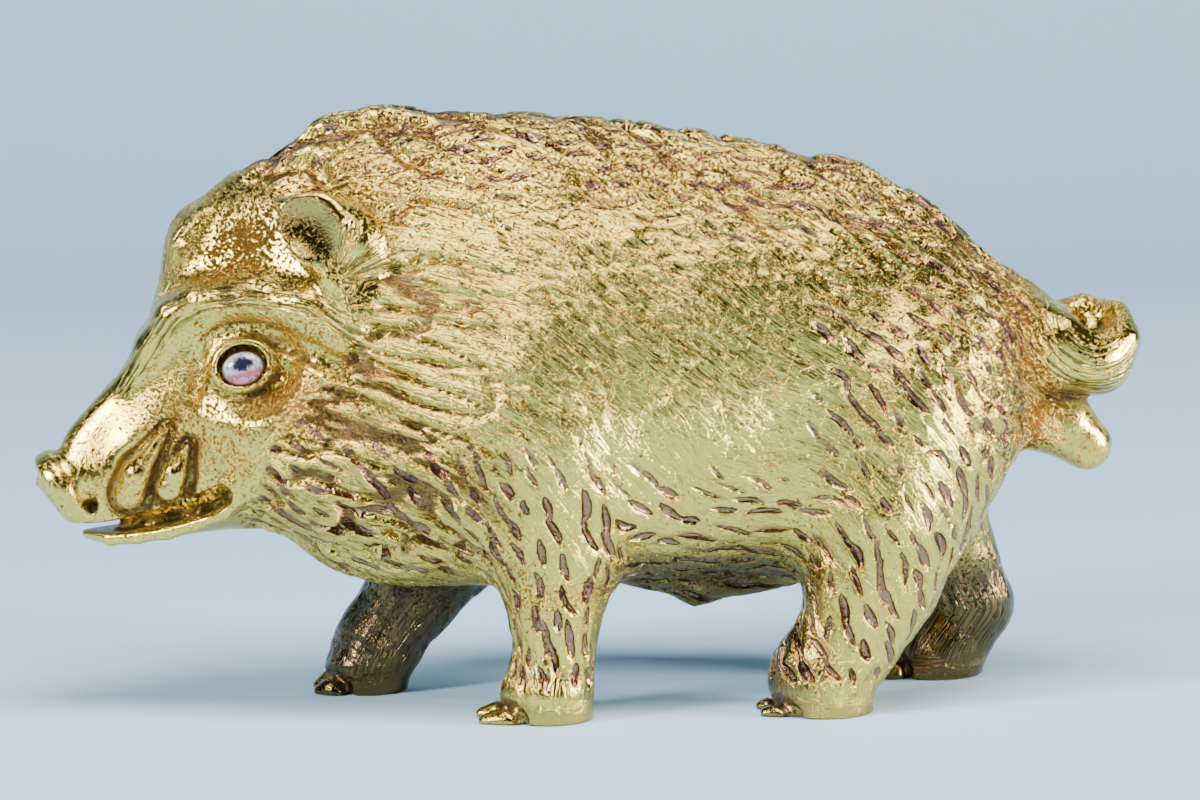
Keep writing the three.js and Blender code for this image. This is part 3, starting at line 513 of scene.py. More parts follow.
@dataclass(frozen=True)
class SurfaceNet:
    """Draws a closed quad mesh round a form by sampling it on a grid."""

    spacing: float
    low: Row = (-53.0, -18.0, -1.5)
    high: Row = (53.0, 18.0, 58.0)
    block: int = 4

    def sampled(self, shape: Shape) -> Array:
        """The form's distances on the grid, worked out closely only near the surface."""
        counts = [int((h - l) / self.spacing / self.block) + 1 for l, h in zip(self.low, self.high)]
        size = self.spacing * self.block
        corner = np.stack(np.meshgrid(*[np.arange(n) for n in counts], indexing="ij"), -1).reshape(-1, 3)
        middle = np.array(self.low) + (corner + 0.5) * size - self.spacing / 2
        rough = shape(middle)
        values = np.repeat(rough[:, None], self.block**3, axis=1)
        near = np.abs(rough) < size * 1.45
        steps = np.stack(np.meshgrid(*[np.arange(self.block)] * 3, indexing="ij"), -1).reshape(-1, 3)
        inner = np.array(self.low) + (corner[near][:, None] * self.block + steps[None]) * self.spacing
        values[near] = shape(inner.reshape(-1, 3)).reshape(-1, self.block**3)
        grid = values.reshape(*counts, self.block, self.block, self.block)
        return grid.transpose(0, 3, 1, 4, 2, 5).reshape([n * self.block for n in counts])

    def mesh(self, shape: Shape) -> tuple[Array, Array]:
        """The surface as points and quads.

        Args:
            shape: Signed distance of the form.

        Returns:
            Points in the form's units, and quads of point numbers.
        """
        values = self.sampled(shape)
        inside = values < 0
        cell = tuple(n - 1 for n in values.shape)
        count = np.zeros(cell, np.int8)
        corners = [(i, j, k) for i in (0, 1) for j in (0, 1) for k in (0, 1)]
        for i, j, k in corners:
            count += inside[i:cell[0] + i, j:cell[1] + j, k:cell[2] + k]
        active = np.argwhere((count > 0) & (count < 8))
        sample = {c: values[tuple((active + np.array(c)).T)] for c in corners}
        total, crossings = np.zeros((len(active), 3)), np.zeros(len(active))
        for c in corners:
            for axis in range(3):
                if c[axis]:
                    continue
                other = tuple(1 if i == axis else v for i, v in enumerate(c))
                a, b = sample[c], sample[other]
                crossed = (a < 0) != (b < 0)
                place = np.tile(np.array(c, float), (len(active), 1))
                place[:, axis] += np.where(crossed, a / np.where(crossed, a - b, 1), 0)
                total += place * crossed[:, None]
                crossings += crossed
        points = np.array(self.low) + (active + total / crossings[:, None]) * self.spacing
        number = np.full(cell, -1, np.int32)
        number[tuple(active.T)] = np.arange(len(active))
        return points, self.quads(inside, number)

    @staticmethod
    def quads(inside: Array, number: Array) -> Array:
        """One quad round each grid edge that the surface crosses."""
        faces = []
        for axis in range(3):
            u, v = (axis + 1) % 3, (axis + 2) % 3
            ahead = np.roll(inside, -1, axis)
            edge = np.argwhere(inside != ahead)
            limit = np.array(number.shape)
            edge = edge[np.all((edge > 0) & (edge < limit), axis=1)]
            starts_inside = inside[tuple(edge.T)]
            back_u, back_v = np.eye(3, dtype=int)[u], np.eye(3, dtype=int)[v]
            around = [edge - back_u - back_v, edge - back_v, edge, edge - back_u]
            quad = np.stack([number[tuple(cells.T)] for cells in around], 1)
            quad[~starts_inside] = quad[~starts_inside][:, ::-1]
            faces.append(quad)
        return np.concatenate(faces)


@dataclass(frozen=True)
class Coat:
    """The chiselled hair: tufts drawn out along its lay, fine raised locks, and single gouges."""

    # Which way the hair lies on the flank: x, z, degrees below the horizontal towards the tail
    runs: tuple[Row, ...] = (
        (-34, 22, 10), (-29, 22, 24), (-24, 34, 38), (-22, 16, 14), (-20, 44, 0), (-20, 50, -22),
        (-21, 31, 62), (-23, 27, 52), (-17, 24, 52), (-26, 20, 26), (-30, 27, 34), (-33, 46, -30),
        (-14, 28, 52), (-12, 38, 24), (-10, 48, -8), (-6, 22, 66), (-4, 12, 84), (-2, 34, 48),
        (4, 44, 12), (6, 24, 58), (8, 16, 14), (10, 34, 40), (14, 50, 6), (16, 18, 12),
        (18, 40, 30), (22, 26, 50), (24, 12, 74), (28, 44, 20), (30, 20, 60), (30, 32, 48),
        (35, 38, 34), (36, 28, 62),
    )
    # The front edge of the coat: z, x
    hairline: tuple[Row, ...] = (
        (14, -31), (18, -31.5), (22, -30), (25, -29.5), (28, -27), (32, -23.5), (35, -21), (38, -19.5),
        (45, -20), (46.5, -27), (48, -31), (52, -33), (56, -33),
    )
    # Half lengths and half widths of the strokes, and the least distance between two
    lock_length: float = 1.8
    lock_width: float = 0.42
    lock_spacing: float = 0.9
    gouge_length: float = 1.6
    gouge_width: float = 0.47
    gouge_spacing: float = 1.95
    # Tufts of two sizes: width and length in millimetres, and share
    tufts: tuple[Row, ...] = ((2.3, 8.0, 1.0), (1.1, 4.5, 0.6))
    tuft_gap: float = 0.45
    seed: int = 11

    def angle(self, x: Array, z: Array) -> Array:
        """The hair's angle below the horizontal at places on the flank, in radians."""
        rows = np.array(self.runs, float)
        weight = 1 / ((x[:, None] - rows[:, 0]) ** 2 + (z[:, None] - rows[:, 1]) ** 2 + 4) ** 2
        lean = np.radians(rows[:, 2])
        return np.arctan2(weight @ np.sin(lean), weight @ np.cos(lean))

    def lay(self, p: Array, normal: Array) -> Array:
        """The hair's direction in the surface at each point, as unit vectors."""
        lean = self.angle(p[:, 0], p[:, 2])
        d = np.stack([np.cos(lean), np.zeros(len(p)), -np.sin(lean)], 1)
        return unit(d - normal * np.einsum("ij,ij->i", d, normal)[:, None])

    def cover(self, p: Array) -> Array:
        """How much of the coat each point carries, 0 on face, ears, tail and hooves."""
        rows = np.array(self.hairline)
        front = np.interp(p[:, 2], rows[:, 0], rows[:, 1])
        behind = smoothstep(-0.8, 1.2, p[:, 0] - front)
        ahead_of_tail = falling(38.5, 41.5, p[:, 0])
        above_hooves = smoothstep(2.2, 4.2, p[:, 2])
        return behind * ahead_of_tail * above_hooves * self.beside_ears(p)

    @staticmethod
    def beside_ears(p: Array) -> Array:
        """0 on either ear and 1 off it."""
        return smoothstep(0, 1.0, ellipsoid(to_right(p), (-24.7, 10.8, 42.2), (5.6, 4.4, 6.0)))

    def shag(self, p: Array) -> Array:
        """How shaggy each place is: 1 on cheek, neck, mane and rump, 0 on the worn flank."""
        x, z = p[:, 0], p[:, 2]
        mane = smoothstep(42, 48, z + 0.18 * x)
        neck = falling(-17, -3, x) * smoothstep(11, 15, z)
        rump = smoothstep(24, 34, x) * smoothstep(18, 26, z)
        return np.maximum.reduce([0.75 * mane, neck, 0.6 * rump, np.full(len(p), 0.1)])

    def lock_height(self, p: Array) -> Array:
        """How far the fine locks stand up, least where the coat is worn smooth."""
        return 0.06 + 0.2 * self.fine(p)

    def tuft_height(self, p: Array) -> Array:
        """How far the large tufts stand up where the coat is shaggy."""
        return 0.03 + 0.85 * self.shag(p)

    def strands(self, across: Array, along: Array) -> Array:
        """How high each place stands in its tuft.

        Args:
            across: Places across the hair, in millimetres.
            along: Places along it.

        Returns:
            0 in the gaps between the tufts and 1 on their ridges.
        """
        rng = np.random.default_rng(self.seed + 1)
        total = sum(share * self.noise(across / wide, along / length, rng)
                    for wide, length, share in self.tufts)
        return smoothstep(0, self.tuft_gap, np.abs(total))

    @staticmethod
    def noise(u: Array, v: Array, rng: np.random.Generator, size: int = 256) -> Array:
        """Smooth noise from -1 to 1 over a plane, with one blot a unit."""
        table = rng.uniform(-1, 1, (size, size))
        i, j = np.floor(u).astype(int), np.floor(v).astype(int)
        s, t = smoothstep(0, 1, u - i), smoothstep(0, 1, v - j)
        near = table[i % size, j % size] * (1 - s) + table[(i + 1) % size, j % size] * s
        far = table[i % size, (j + 1) % size] * (1 - s) + table[(i + 1) % size, (j + 1) % size] * s
        return near * (1 - t) + far * t

    def fine(self, p: Array) -> Array:
        """How much fine hair each place shows: 1 on neck, mane and upper flank, little below."""
        x, z = p[:, 0], p[:, 2]
        upper = smoothstep(24, 33, z + 0.25 * x)
        thigh = smoothstep(10, 20, x) * falling(36, 44, z)
        neck = falling(-14, -8, x) * 0.8
        return np.maximum(upper * (1 - 0.6 * thigh), neck) * 0.6 + 0.4

    def gouge_depth(self, p: Array) -> Array:
        """How deep the single gouges go, deepest on belly and near legs, least on the far legs."""
        x, y, z = p.T
        low = falling(17, 27, z + 0.15 * x)
        rump = smoothstep(14, 24, x) * falling(36, 46, z)
        mane = smoothstep(42, 48, z + 0.18 * x)
        worn = smoothstep(-2, 3, y) * falling(12, 18, z)
        deepest = np.maximum.reduce([low, 0.65 * rump, 0.5 * mane, np.full(len(p), 0.12)])
        return 0.5 * deepest * (1 - 0.85 * worn)

    def waves(self, p: Array) -> Array:
        """Slow dents left by the hammer and the file, 0 to 1."""
        x, y, z = p.T
        total = np.zeros(len(p))
        for i, (length, turn) in enumerate(((9.0, 0.3), (6.2, 1.9), (4.4, 3.1), (3.1, 4.4))):
            k = 2 * math.pi / length
            u = x * math.cos(turn) + z * math.sin(turn)
            v = y * math.cos(turn) + z * math.cos(turn + 1)
            total += np.sin(k * u + i) * np.sin(k * v + 2 * i) / (i + 1)
        return 0.5 + 0.24 * total

    def scattered(self, p: Array, weight: Array, spacing: float, rng: np.random.Generator) -> Array:
        """Picks points at least a spacing apart.

        Args:
            p: All points.
            weight: Only points over a half are picked.
            spacing: The least distance between two picks.
            rng: Source of the order they are tried in.

        Returns:
            The numbers of the picked points.
        """
        kept: dict[tuple[int, int, int], list[int]] = {}
        picked = []
        order = rng.permutation(np.flatnonzero(weight > 0.5))
        cells = np.floor(p / spacing).astype(int)
        around = [(i, j, k) for i in (-1, 0, 1) for j in (-1, 0, 1) for k in (-1, 0, 1)]
        places = p.tolist()
        for i in order.tolist():
            x, y, z = places[i]
            a, b, c = cells[i].tolist()
            near = (n for da, db, dc in around for n in kept.get((a + da, b + db, c + dc), ()))
            if all((places[n][0] - x) ** 2 + (places[n][1] - y) ** 2 + (places[n][2] - z) ** 2 > spacing**2
                   for n in near):
                kept.setdefault((a, b, c), []).append(i)
                picked.append(i)
        return np.array(picked)


@dataclass(frozen=True)
class Stroke:
    """One lock or gouge: its middle, its axes, its half sizes, how high or deep it is, and its bend."""

    middle: Array
    along: Array
    across: Array
    out: Array
    length: float
    width: float
    size: float
    bend: float


class Carving:
    """The coat's locks and gouges, laid out over the surface."""

    REACH_OUT = 1.6  # how far a stroke reaches off its own level, so that it stays on its side
    LEAST_TAPER = 0.05  # of a stroke's width, at its tips

    def __init__(self, coat: Coat, points: Array, normals: Array) -> None:
        """Lays out the strokes over a smooth surface.

        Args:
            coat: The hair's directions and sizes.
            points: The surface's points.
            normals: Its outward normals.
        """
        self.coat = coat
        rng = np.random.default_rng(coat.seed)
        cover = coat.cover(points)
        lay = coat.lay(points, normals)
        self.locks = self._strokes(points, normals, lay, cover, rng, coat.lock_spacing,
                                   coat.lock_length, coat.lock_width)
        self.gouges = self._strokes(points, normals, lay, cover * (coat.gouge_depth(points) > 0.12), rng,
                                    coat.gouge_spacing, coat.gouge_length, coat.gouge_width)

    def _strokes(self, points: Array, normals: Array, lay: Array, cover: Array,
                 rng: np.random.Generator, spacing: float, length: float, width: float) -> list[Stroke]:
        """Strokes of about one size, a spacing apart, each a little different."""
        picked = self.coat.scattered(points, cover, spacing, rng)
        chances = zip(picked, rng.uniform(0.65, 1.35, len(picked)), rng.uniform(0.6, 1.25, len(picked)),
                      rng.normal(0, 0.16, len(picked)), rng.uniform(0.55, 1.0, len(picked)),
                      rng.normal(0, 0.16, len(picked)))
        strokes = []
        for i, grow, slim, swing, size, bend in chances:
            out = normals[i]
            side = np.cross(out, lay[i])
            along = lay[i] * math.cos(swing) + side * math.sin(swing)
            across = np.cross(out, along)
            strokes.append(Stroke(points[i], along, across, out, length * grow, width * slim, size, bend))
        return strokes

    def marks(self, points: Array) -> tuple[Array, Array]:
        """How high each point stands in its lock and how deep in a gouge, both 0 to 1."""
        tree = KDTree(len(points))
        for i, place in enumerate(points.tolist()):
            tree.insert(place, i)
        tree.balance()
        return tuple(self._traced(points, tree, strokes, rises) for strokes, rises in
                     ((self.locks, True), (self.gouges, False)))

    @staticmethod
    def _traced(points: Array, tree: KDTree, strokes: list[Stroke], rises: bool) -> Array:
        """The highest mark that any stroke leaves at each point."""
        level = np.zeros(len(points))
        for s in strokes:
            found = tree.find_range(s.middle, s.length * 1.02)
            near = np.fromiter((f[1] for f in found), int, len(found))
            local = points[near] - s.middle
            u = local @ s.along / s.length
            taper = np.maximum(1 - u * u, 0)
            sideways = local @ s.across - s.bend * s.length * (u * u - 0.4)
            v = sideways / (s.width * np.maximum(taper**0.6, Carving.LEAST_TAPER))
            inside = (taper > 0) & (np.abs(local @ s.out) < Carving.REACH_OUT)
            body = np.maximum(1 - v * v, 0) * inside
            shape = body**0.85 * (0.45 + 0.55 * (u + 1) / 2) if rises else body**0.8 * taper**0.4
            level[near] = np.maximum(level[near], shape * s.size)
        return level


class Engraving:
    """Fine cut lines that follow one form: which places they are on, and the place across them."""

    TURN_WIDTH = 4.2  # the width that one radian takes up in lines that fan out

    def lines(self, form: BoarForm, p: Array) -> tuple[Array, Array]:
        """The lines on brow, forelock, ear, tail and hooves.

        Args:
            form: The boar's form.
            p: Points in hundredths of the length.

        Returns:
            How much each point is engraved, 0 to 1, and its place across the lines in millimetres.
        """
        x, y, z = p[:, 0], np.abs(p[:, 1]), p[:, 2]
        sets = (
            self.along_path(x, y, z, form.brow),
            self.on_forelock(x, y, z),
            self.on_ear(form, x, y, z),
            self.round_tail(form, x, z),
            self.down_feet(form, p),
        )
        amount, across = np.zeros(len(p)), np.zeros(len(p))
        for new_amount, new_across in sets:
            across = np.where(new_amount > amount, new_across, across)
            amount = np.maximum(amount, new_amount)
        return amount, across / form.mm

    @staticmethod
    def along_path(x: Array, y: Array, z: Array, path: tuple[Row, ...]) -> tuple[Array, Array]:
        """Lines that run along a path on the side of the head, above it."""
        gap = np.full(len(x), np.inf)
        signed = np.zeros(len(x))
        for a, b in zip(path, path[1:]):
            ex, ez = b[0] - a[0], b[2] - a[2]
            t = np.clip(((x - a[0]) * ex + (z - a[2]) * ez) / (ex * ex + ez * ez), 0, 1)
            dx, dz = x - a[0] - ex * t, z - a[2] - ez * t
            near = np.hypot(dx, dz)
            side = (ex * dz - ez * dx) / math.hypot(ex, ez)
            signed = np.where(near < gap, side, signed)
            gap = np.minimum(gap, near)
        shown = falling(1.2, 2.0, gap) * smoothstep(-1.0, -0.4, signed)
        return shown * smoothstep(1.0, 2.4, y), signed

    @staticmethod
    def on_forelock(x: Array, y: Array, z: Array) -> tuple[Array, Array]:
        """Lines up the front of the forelock."""
        shown = smoothstep(36.5, 38.5, z) * falling(44.5, 46, z)
        return shown * falling(-36.4, -34.6, x + 0.25 * (42 - z)) * falling(2.6, 3.6, y), y

    @staticmethod
    def on_ear(form: BoarForm, x: Array, y: Array, z: Array) -> tuple[Array, Array]:
        """Lines that fan out over the back of the ear."""
        low = form.ear_low
        dx, dz = x - low[0] + 0.6, z - low[2] + 1.2
        reach = np.hypot(dx, dz)
        turn = np.arctan2(dz, dx)
        shown = smoothstep(1.2, 2.2, reach) * falling(5.6, 6.4, reach) * smoothstep(8.6, 9.4, y)
        shown *= smoothstep(-0.1, 0.1, turn) * falling(1.2, 1.45, turn)
        return shown, turn * Engraving.TURN_WIDTH

    @staticmethod
    def round_tail(form: BoarForm, x: Array, z: Array) -> tuple[Array, Array]:
        """Lines that curl round the tail's knot."""
        reach = np.hypot(x - form.tail_pit[0], z - form.tail_pit[2])
        turn = np.arctan2(z - form.tail_pit[2], x - form.tail_pit[0])
        shown = smoothstep(2.6, 3.6, reach) * falling(8.2, 9.6, reach) * falling(-1.0, -0.6, turn)
        return shown * smoothstep(26.0, 27.0, z) * smoothstep(38.5, 40.0, x), reach

    @staticmethod
    def down_feet(form: BoarForm, p: Array) -> tuple[Array, Array]:
        """Lines down the legs just over the hooves, and all down the far legs."""
        x, y, z = p.T
        amount, across = np.zeros(len(p)), np.zeros(len(p))
        for balls in form.legs:
            middle = np.interp(z, [b[2] for b in balls[::-1]], [b[0] for b in balls[::-1]])
            ahead, aside = x - middle, y - balls[-1][1]
            strength, low, high = (0.9, 9.0, 12.0) if balls[0][1] > 0 else (0.5, 4.2, 5.4)
            shown = falling(low, high, z) * smoothstep(1.4, 2.2, z)
            shown *= falling(6.0, 7.0, np.hypot(ahead, aside)) * strength
            turn = np.arctan2(aside, ahead)
            across = np.where(shown > amount, turn * Engraving.TURN_WIDTH, across)
            amount = np.maximum(amount, shown)
        return amount, across


class Nodes:
    """A node tree that is being filled, with short ways to the nodes that come up often."""

    def __init__(self, owner: bpy.types.Material | bpy.types.World) -> None:
        """Empties the node tree of a material or world."""
        owner.use_nodes = True
        self.tree = owner.node_tree
        self.tree.nodes.clear()

    def add(self, kind: str, settings: dict | None = None, **links: object) -> bpy.types.Node:
        """Adds one node with its settings and inputs.

        Args:
            kind: Blender's name for the node's type.
            settings: Properties of the node itself.
            **links: A value or output socket for each input, by the input's name or i and its number.

        Returns:
            The new node.
        """
        node = self.tree.nodes.new(kind)
        for name, value in (settings or {}).items():
            setattr(node, name, value)
        for name, value in links.items():
            key = int(name[1:]) if name[0] == "i" and name[1:].isdigit() else name.replace("_", " ")
            socket = node.inputs[key]
            if isinstance(value, bpy.types.NodeSocket):
                self.tree.links.new(value, socket)
            else:
                socket.default_value = value
        return node

    def calc(self, operation: str, a: object, b: object = 0.0, c: object = 0.0) -> bpy.types.NodeSocket:
        """Two or three values put together by one operation."""
        return self.add("ShaderNodeMath", {"operation": operation}, i0=a, i1=b, i2=c).outputs[0]

    def product(self, a: object, b: object) -> bpy.types.NodeSocket:
        """The product of two values."""
        return self.calc("MULTIPLY", a, b)

    def scaled(self, value: object, factor: object, shift: object) -> bpy.types.NodeSocket:
        """A value times a factor, moved by a shift."""
        return self.calc("MULTIPLY_ADD", value, factor, shift)

    def attribute(self, name: str) -> bpy.types.NodeSocket:
        """A value stored on the mesh."""
        return self.add("ShaderNodeAttribute", {"attribute_name": name}).outputs["Fac"]

    def place(self) -> bpy.types.NodeSocket:
        """The place on the object, in metres."""
        return self.add("ShaderNodeTexCoord").outputs["Object"]

    def mixed(self, share: object, a: object, b: object) -> bpy.types.NodeSocket:
        """Colour a with a share of colour b."""
        return self.add("ShaderNodeMix", {"data_type": "RGBA"}, i0=share, i6=a, i7=b).outputs[2]

    def rising(self, value: object, low: float, high: float,
               course: str = "SMOOTHSTEP") -> bpy.types.NodeSocket:
        """0 at low and 1 at high."""
        return self.add("ShaderNodeMapRange", {"clamp": True, "interpolation_type": course},
                        Value=value, i1=low, i2=high, i3=0.0, i4=1.0).outputs[0]

    def noise(self, place: object, size_mm: float, detail: float,
              roughness: float = 0.6) -> bpy.types.NodeSocket:
        """Noise over the object with blots of about one size."""
        return self.add("ShaderNodeTexNoise", Vector=place, Scale=1 / (size_mm * MM),
                        Detail=detail, Roughness=roughness).outputs["Fac"]

    def finished(self, **look: object) -> None:
        """Ends a material with one surface of the given look."""
        surface = self.add("ShaderNodeBsdfPrincipled", **look).outputs[0]
        self.add("ShaderNodeOutputMaterial", Surface=surface)


def linear(hex_colour: str) -> Row:
    """An sRGB hex colour as linear red, green, blue and alpha."""
    parts = [int(hex_colour[i:i + 2], 16) / 255 for i in (1, 3, 5)]
    return (*[c / 12.92 if c <= 0.04045 else ((c + 0.055) / 1.055) ** 2.4 for c in parts], 1.0)


@dataclass(frozen=True)
class PolishedBrass:
    """Cast brass, chiselled and hand-polished: bright on the high places, brown and dull in the cuts."""

    # Colours: the bare metal, its thin and thick brown skin, gouges, gaps between tufts, dark patina
    # with painted shade in crevices, painted shade in lines and hairs, and painted shade on far legs,
    # belly and ear cups with the dark hooves
    polished: str = "#E9C75C"
    warm: str = "#C0803A"
    tarnish: str = "#75401F"
    mauve: str = "#7F5558"
    umber: str = "#6F4A35"
    crevice: str = "#54403A"
    shadow: str = "#5A4A2A"
    shade_and_hoof_brown: str = "#4A3B33"
    polished_roughness: float = 0.13
    tarnished_roughness: float = 0.46
    hair_mm: float = 0.3
    grain_mm: float = 0.42
    sparkle_mm: float = 0.22
    cloud_mm: float = 9.0
    pit_mm: float = 2.2
    line_mm: float = 0.3
    line_drift_mm: float = 5.0
    bump_mm: float = 0.28

    def material(self) -> bpy.types.Material:
        """Builds the node material from the depth, tarnish, hair and lines stored on the body."""
        material = bpy.data.materials.new("polished_cast_brass")
        nodes = Nodes(material)
        place = nodes.place()
        between, gouge, hollow = (nodes.attribute(name) for name in ("between", "gouge", "hollow"))
        tarnish, fur, painted_shade_and_hooves = (nodes.attribute(name) for name in ("tarnish", "fur", "painted_shade_and_hooves"))
        grain = nodes.noise(place, self.grain_mm, 4.0, 0.65)
        streaks = self.streaks(nodes)
        furrow = self.furrow(nodes, place)
        pit = self.pit(nodes, place)

        # How dull and brown each place is, and where shade is painted, 0 to 1
        ragged = nodes.scaled(nodes.noise(place, self.cloud_mm, 5.0), 1.6, -0.85)
        grainy = nodes.scaled(grain, 3.4, -1.75)
        skin = nodes.rising(nodes.calc("ADD", nodes.calc("ADD", tarnish, ragged), grainy), 0.2, 0.95)
        fine_gaps = nodes.product(nodes.rising(streaks, 0.47, 0.33), nodes.product(fur, 0.8))
        uneven = nodes.scaled(grain, 0.4, -0.2)
        floor = nodes.rising(nodes.calc("ADD", gouge, uneven), 0.22, 0.42)
        valley = nodes.rising(nodes.calc("ADD", between, uneven), 0.25, 0.75)
        # dark patina with painted shade in crevices, from how closely metal stands round, and the pinholes
        crevice = nodes.calc("MAXIMUM", nodes.rising(nodes.calc("ADD", hollow, uneven), 0.55, 1.25), pit)

        # Each colour over the ones before it, by its share
        colour = linear(self.polished)
        for share, over in (
            (nodes.product(skin, 0.9), self.warm),
            (nodes.product(nodes.product(skin, skin), 0.45), self.tarnish),
            (nodes.calc("MAXIMUM", fine_gaps, nodes.product(furrow, 0.8)), self.shadow),
            (nodes.product(valley, 0.8), self.umber),
            (nodes.product(floor, 0.8), self.mauve),
            # painted shade on the far legs, belly and ear cups, and the dark hooves
            (nodes.product(painted_shade_and_hooves, 0.88), self.shade_and_hoof_brown),
            # dark patina with painted shade in crevices
            (nodes.product(crevice, 0.9), self.crevice),
        ):
            colour = nodes.mixed(share, colour, linear(over))
        dull = nodes.calc("MAXIMUM", nodes.product(valley, 0.4), crevice)
        dull = nodes.calc("MAXIMUM", nodes.product(skin, 0.4), dull)
        roughness = nodes.scaled(dull, self.tarnished_roughness - self.polished_roughness,
                                 self.polished_roughness)

        # Fine relief: hairs, skin and the gouges' raised rims, less the cuts
        hair_height = nodes.product(nodes.product(streaks, fur), 0.9)
        skin_height = nodes.product(grain, nodes.scaled(skin, 1.6, 0.12))
        sparkle = nodes.noise(place, self.sparkle_mm, 2.0)
        rough_height = nodes.scaled(sparkle, 0.12, nodes.calc("ADD", hair_height, skin_height))
        rim = nodes.product(nodes.rising(gouge, 0.02, 0.2), nodes.rising(gouge, 0.42, 0.22))
        raised = nodes.scaled(rim, 0.35, rough_height)
        cuts = nodes.scaled(furrow, 0.6, nodes.scaled(gouge, 1.1, nodes.product(pit, 0.9)))
        bump = nodes.add("ShaderNodeBump", Strength=1.0, Distance=self.bump_mm * MM,
                         Height=nodes.calc("SUBTRACT", raised, cuts)).outputs[0]
        nodes.finished(Base_Color=colour, Metallic=1.0, Roughness=roughness, Normal=bump)
        return material

    def streaks(self, nodes: Nodes) -> bpy.types.NodeSocket:
        """Hair too fine for the mesh: noise drawn out along the lay of the coat."""
        across = nodes.product(nodes.attribute("lay_across"), 1 / self.hair_mm)
        along = nodes.product(nodes.attribute("lay_along"), 1 / (self.hair_mm * 8))
        place = nodes.add("ShaderNodeCombineXYZ", X=across, Y=along).outputs[0]
        return nodes.add("ShaderNodeTexNoise", {"noise_dimensions": "2D"}, Vector=place,
                         Scale=1.0, Detail=3.0, Roughness=0.65).outputs["Fac"]

    def furrow(self, nodes: Nodes, place: bpy.types.NodeSocket) -> bpy.types.NodeSocket:
        """Lines cut side by side: noise that changes fast only from line to line."""
        slow = nodes.add("ShaderNodeVectorMath", {"operation": "SCALE"}, i0=place,
                         Scale=1 / (self.line_drift_mm * MM)).outputs[0]
        number = nodes.product(nodes.attribute("engraved_place"), 1 / self.line_mm)
        lines = nodes.add("ShaderNodeTexNoise", {"noise_dimensions": "4D"}, Vector=slow, W=number,
                          Scale=1.0, Detail=1.0).outputs["Fac"]
        return nodes.product(nodes.rising(lines, 0.52, 0.38), nodes.attribute("engraved"))

    def pit(self, nodes: Nodes, place: bpy.types.NodeSocket) -> bpy.types.NodeSocket:
        """Casting pinholes in some of the cells of a few millimetres."""
        cells = nodes.add("ShaderNodeTexVoronoi", {"feature": "F1"}, Vector=place,
                          Scale=1 / (self.pit_mm * MM), Randomness=1.0)
        chance = nodes.add("ShaderNodeSeparateColor", Color=cells.outputs["Color"]).outputs[0]
        hole = nodes.rising(cells.outputs["Distance"], 0.1, 0.05)
        return nodes.product(hole, nodes.calc("GREATER_THAN", chance, 0.6))


@dataclass(frozen=True)
class PaintedEyeGlass:
    """Domed glass, painted behind: a blotted dark pupil on clouded white, red below, under a hard gloss."""

    white: str = "#D6CAD0"
    cloud: str = "#6F6D7A"
    red: str = "#B4394F"
    pink: str = "#C98F9A"
    pupil: str = "#1B2030"
    # painted reflection of the bronze rim, as a dark edge round the glass
    bronze_rim_reflection: str = "#4A3B2A"
    blot_mm: float = 0.55

    def material(self) -> bpy.types.Material:
        """Builds the node material from the eye's own radius and height."""
        material = bpy.data.materials.new("eye_glass_painted_behind")
        nodes = Nodes(material)
        blots = nodes.noise(nodes.place(), self.blot_mm, 4.0, 0.75)

        def blotted(value: object, amount: float) -> bpy.types.NodeSocket:
            """A value made uneven by the blots in the paint."""
            return nodes.calc("ADD", value, nodes.scaled(blots, amount, -amount / 2))

        height = blotted(nodes.attribute("eye_rise"), 1.6)
        gap = blotted(nodes.attribute("pupil_gap"), 1.7)
        colour = linear(self.white)
        for value, low, high, paint in (
            (blots, 0.44, 0.6, self.cloud),
            (height, -0.15, -0.35, self.red),
            (height, -0.55, -0.8, self.pink),
            (gap, 0.6, 0.35, self.pupil),
            # painted reflection of the bronze rim, as a dark edge round the glass
            (nodes.attribute("eye_radius"), 0.82, 0.95, self.bronze_rim_reflection),
        ):
            colour = nodes.mixed(nodes.rising(value, low, high), colour, linear(paint))
        nodes.finished(Base_Color=colour, Roughness=0.2, IOR=1.5, Coat_Weight=1.0, Coat_Roughness=0.05)
        return material


@dataclass(frozen=True)
class StudioPaper:
    """Matt paper for the floor and sweep: pale and a little cool, with no pattern."""

    colour: str = "#B0D3F0"

    def material(self) -> bpy.types.Material:
        """Builds the plain matt material."""
        material = bpy.data.materials.new("matt_studio_paper")
        Nodes(material).finished(Base_Color=linear(self.colour), Roughness=0.9)
        return material


def mesh_object(name: str, points: Array, faces: Array | list) -> bpy.types.Object:
    """Makes a smooth-shaded object from points and faces of point numbers."""
    mesh = bpy.data.meshes.new(name)
    mesh.from_pydata(points.tolist(), [], faces.tolist() if isinstance(faces, np.ndarray) else faces)
    mesh.validate()
    mesh.shade_smooth()
    made = bpy.data.objects.new(name, mesh)
    bpy.context.scene.collection.objects.link(made)
    return made


def store(made: bpy.types.Object, name: str, values: Array) -> None:
    """Stores one value a point on an object's mesh."""
    layer = made.data.attributes.new(name, "FLOAT", "POINT")
    layer.data.foreach_set("value", values.astype(np.float32))


def fitted(points: Array, box: tuple[Vector, Vector]) -> Array:
    """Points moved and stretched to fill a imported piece's box, in metres."""
    low, high = points.min(0), points.max(0)
    box_low, box_high = np.array(box[0]), np.array(box[1])
    return box_low + (points - low) * (box_high - box_low) / (high - low)


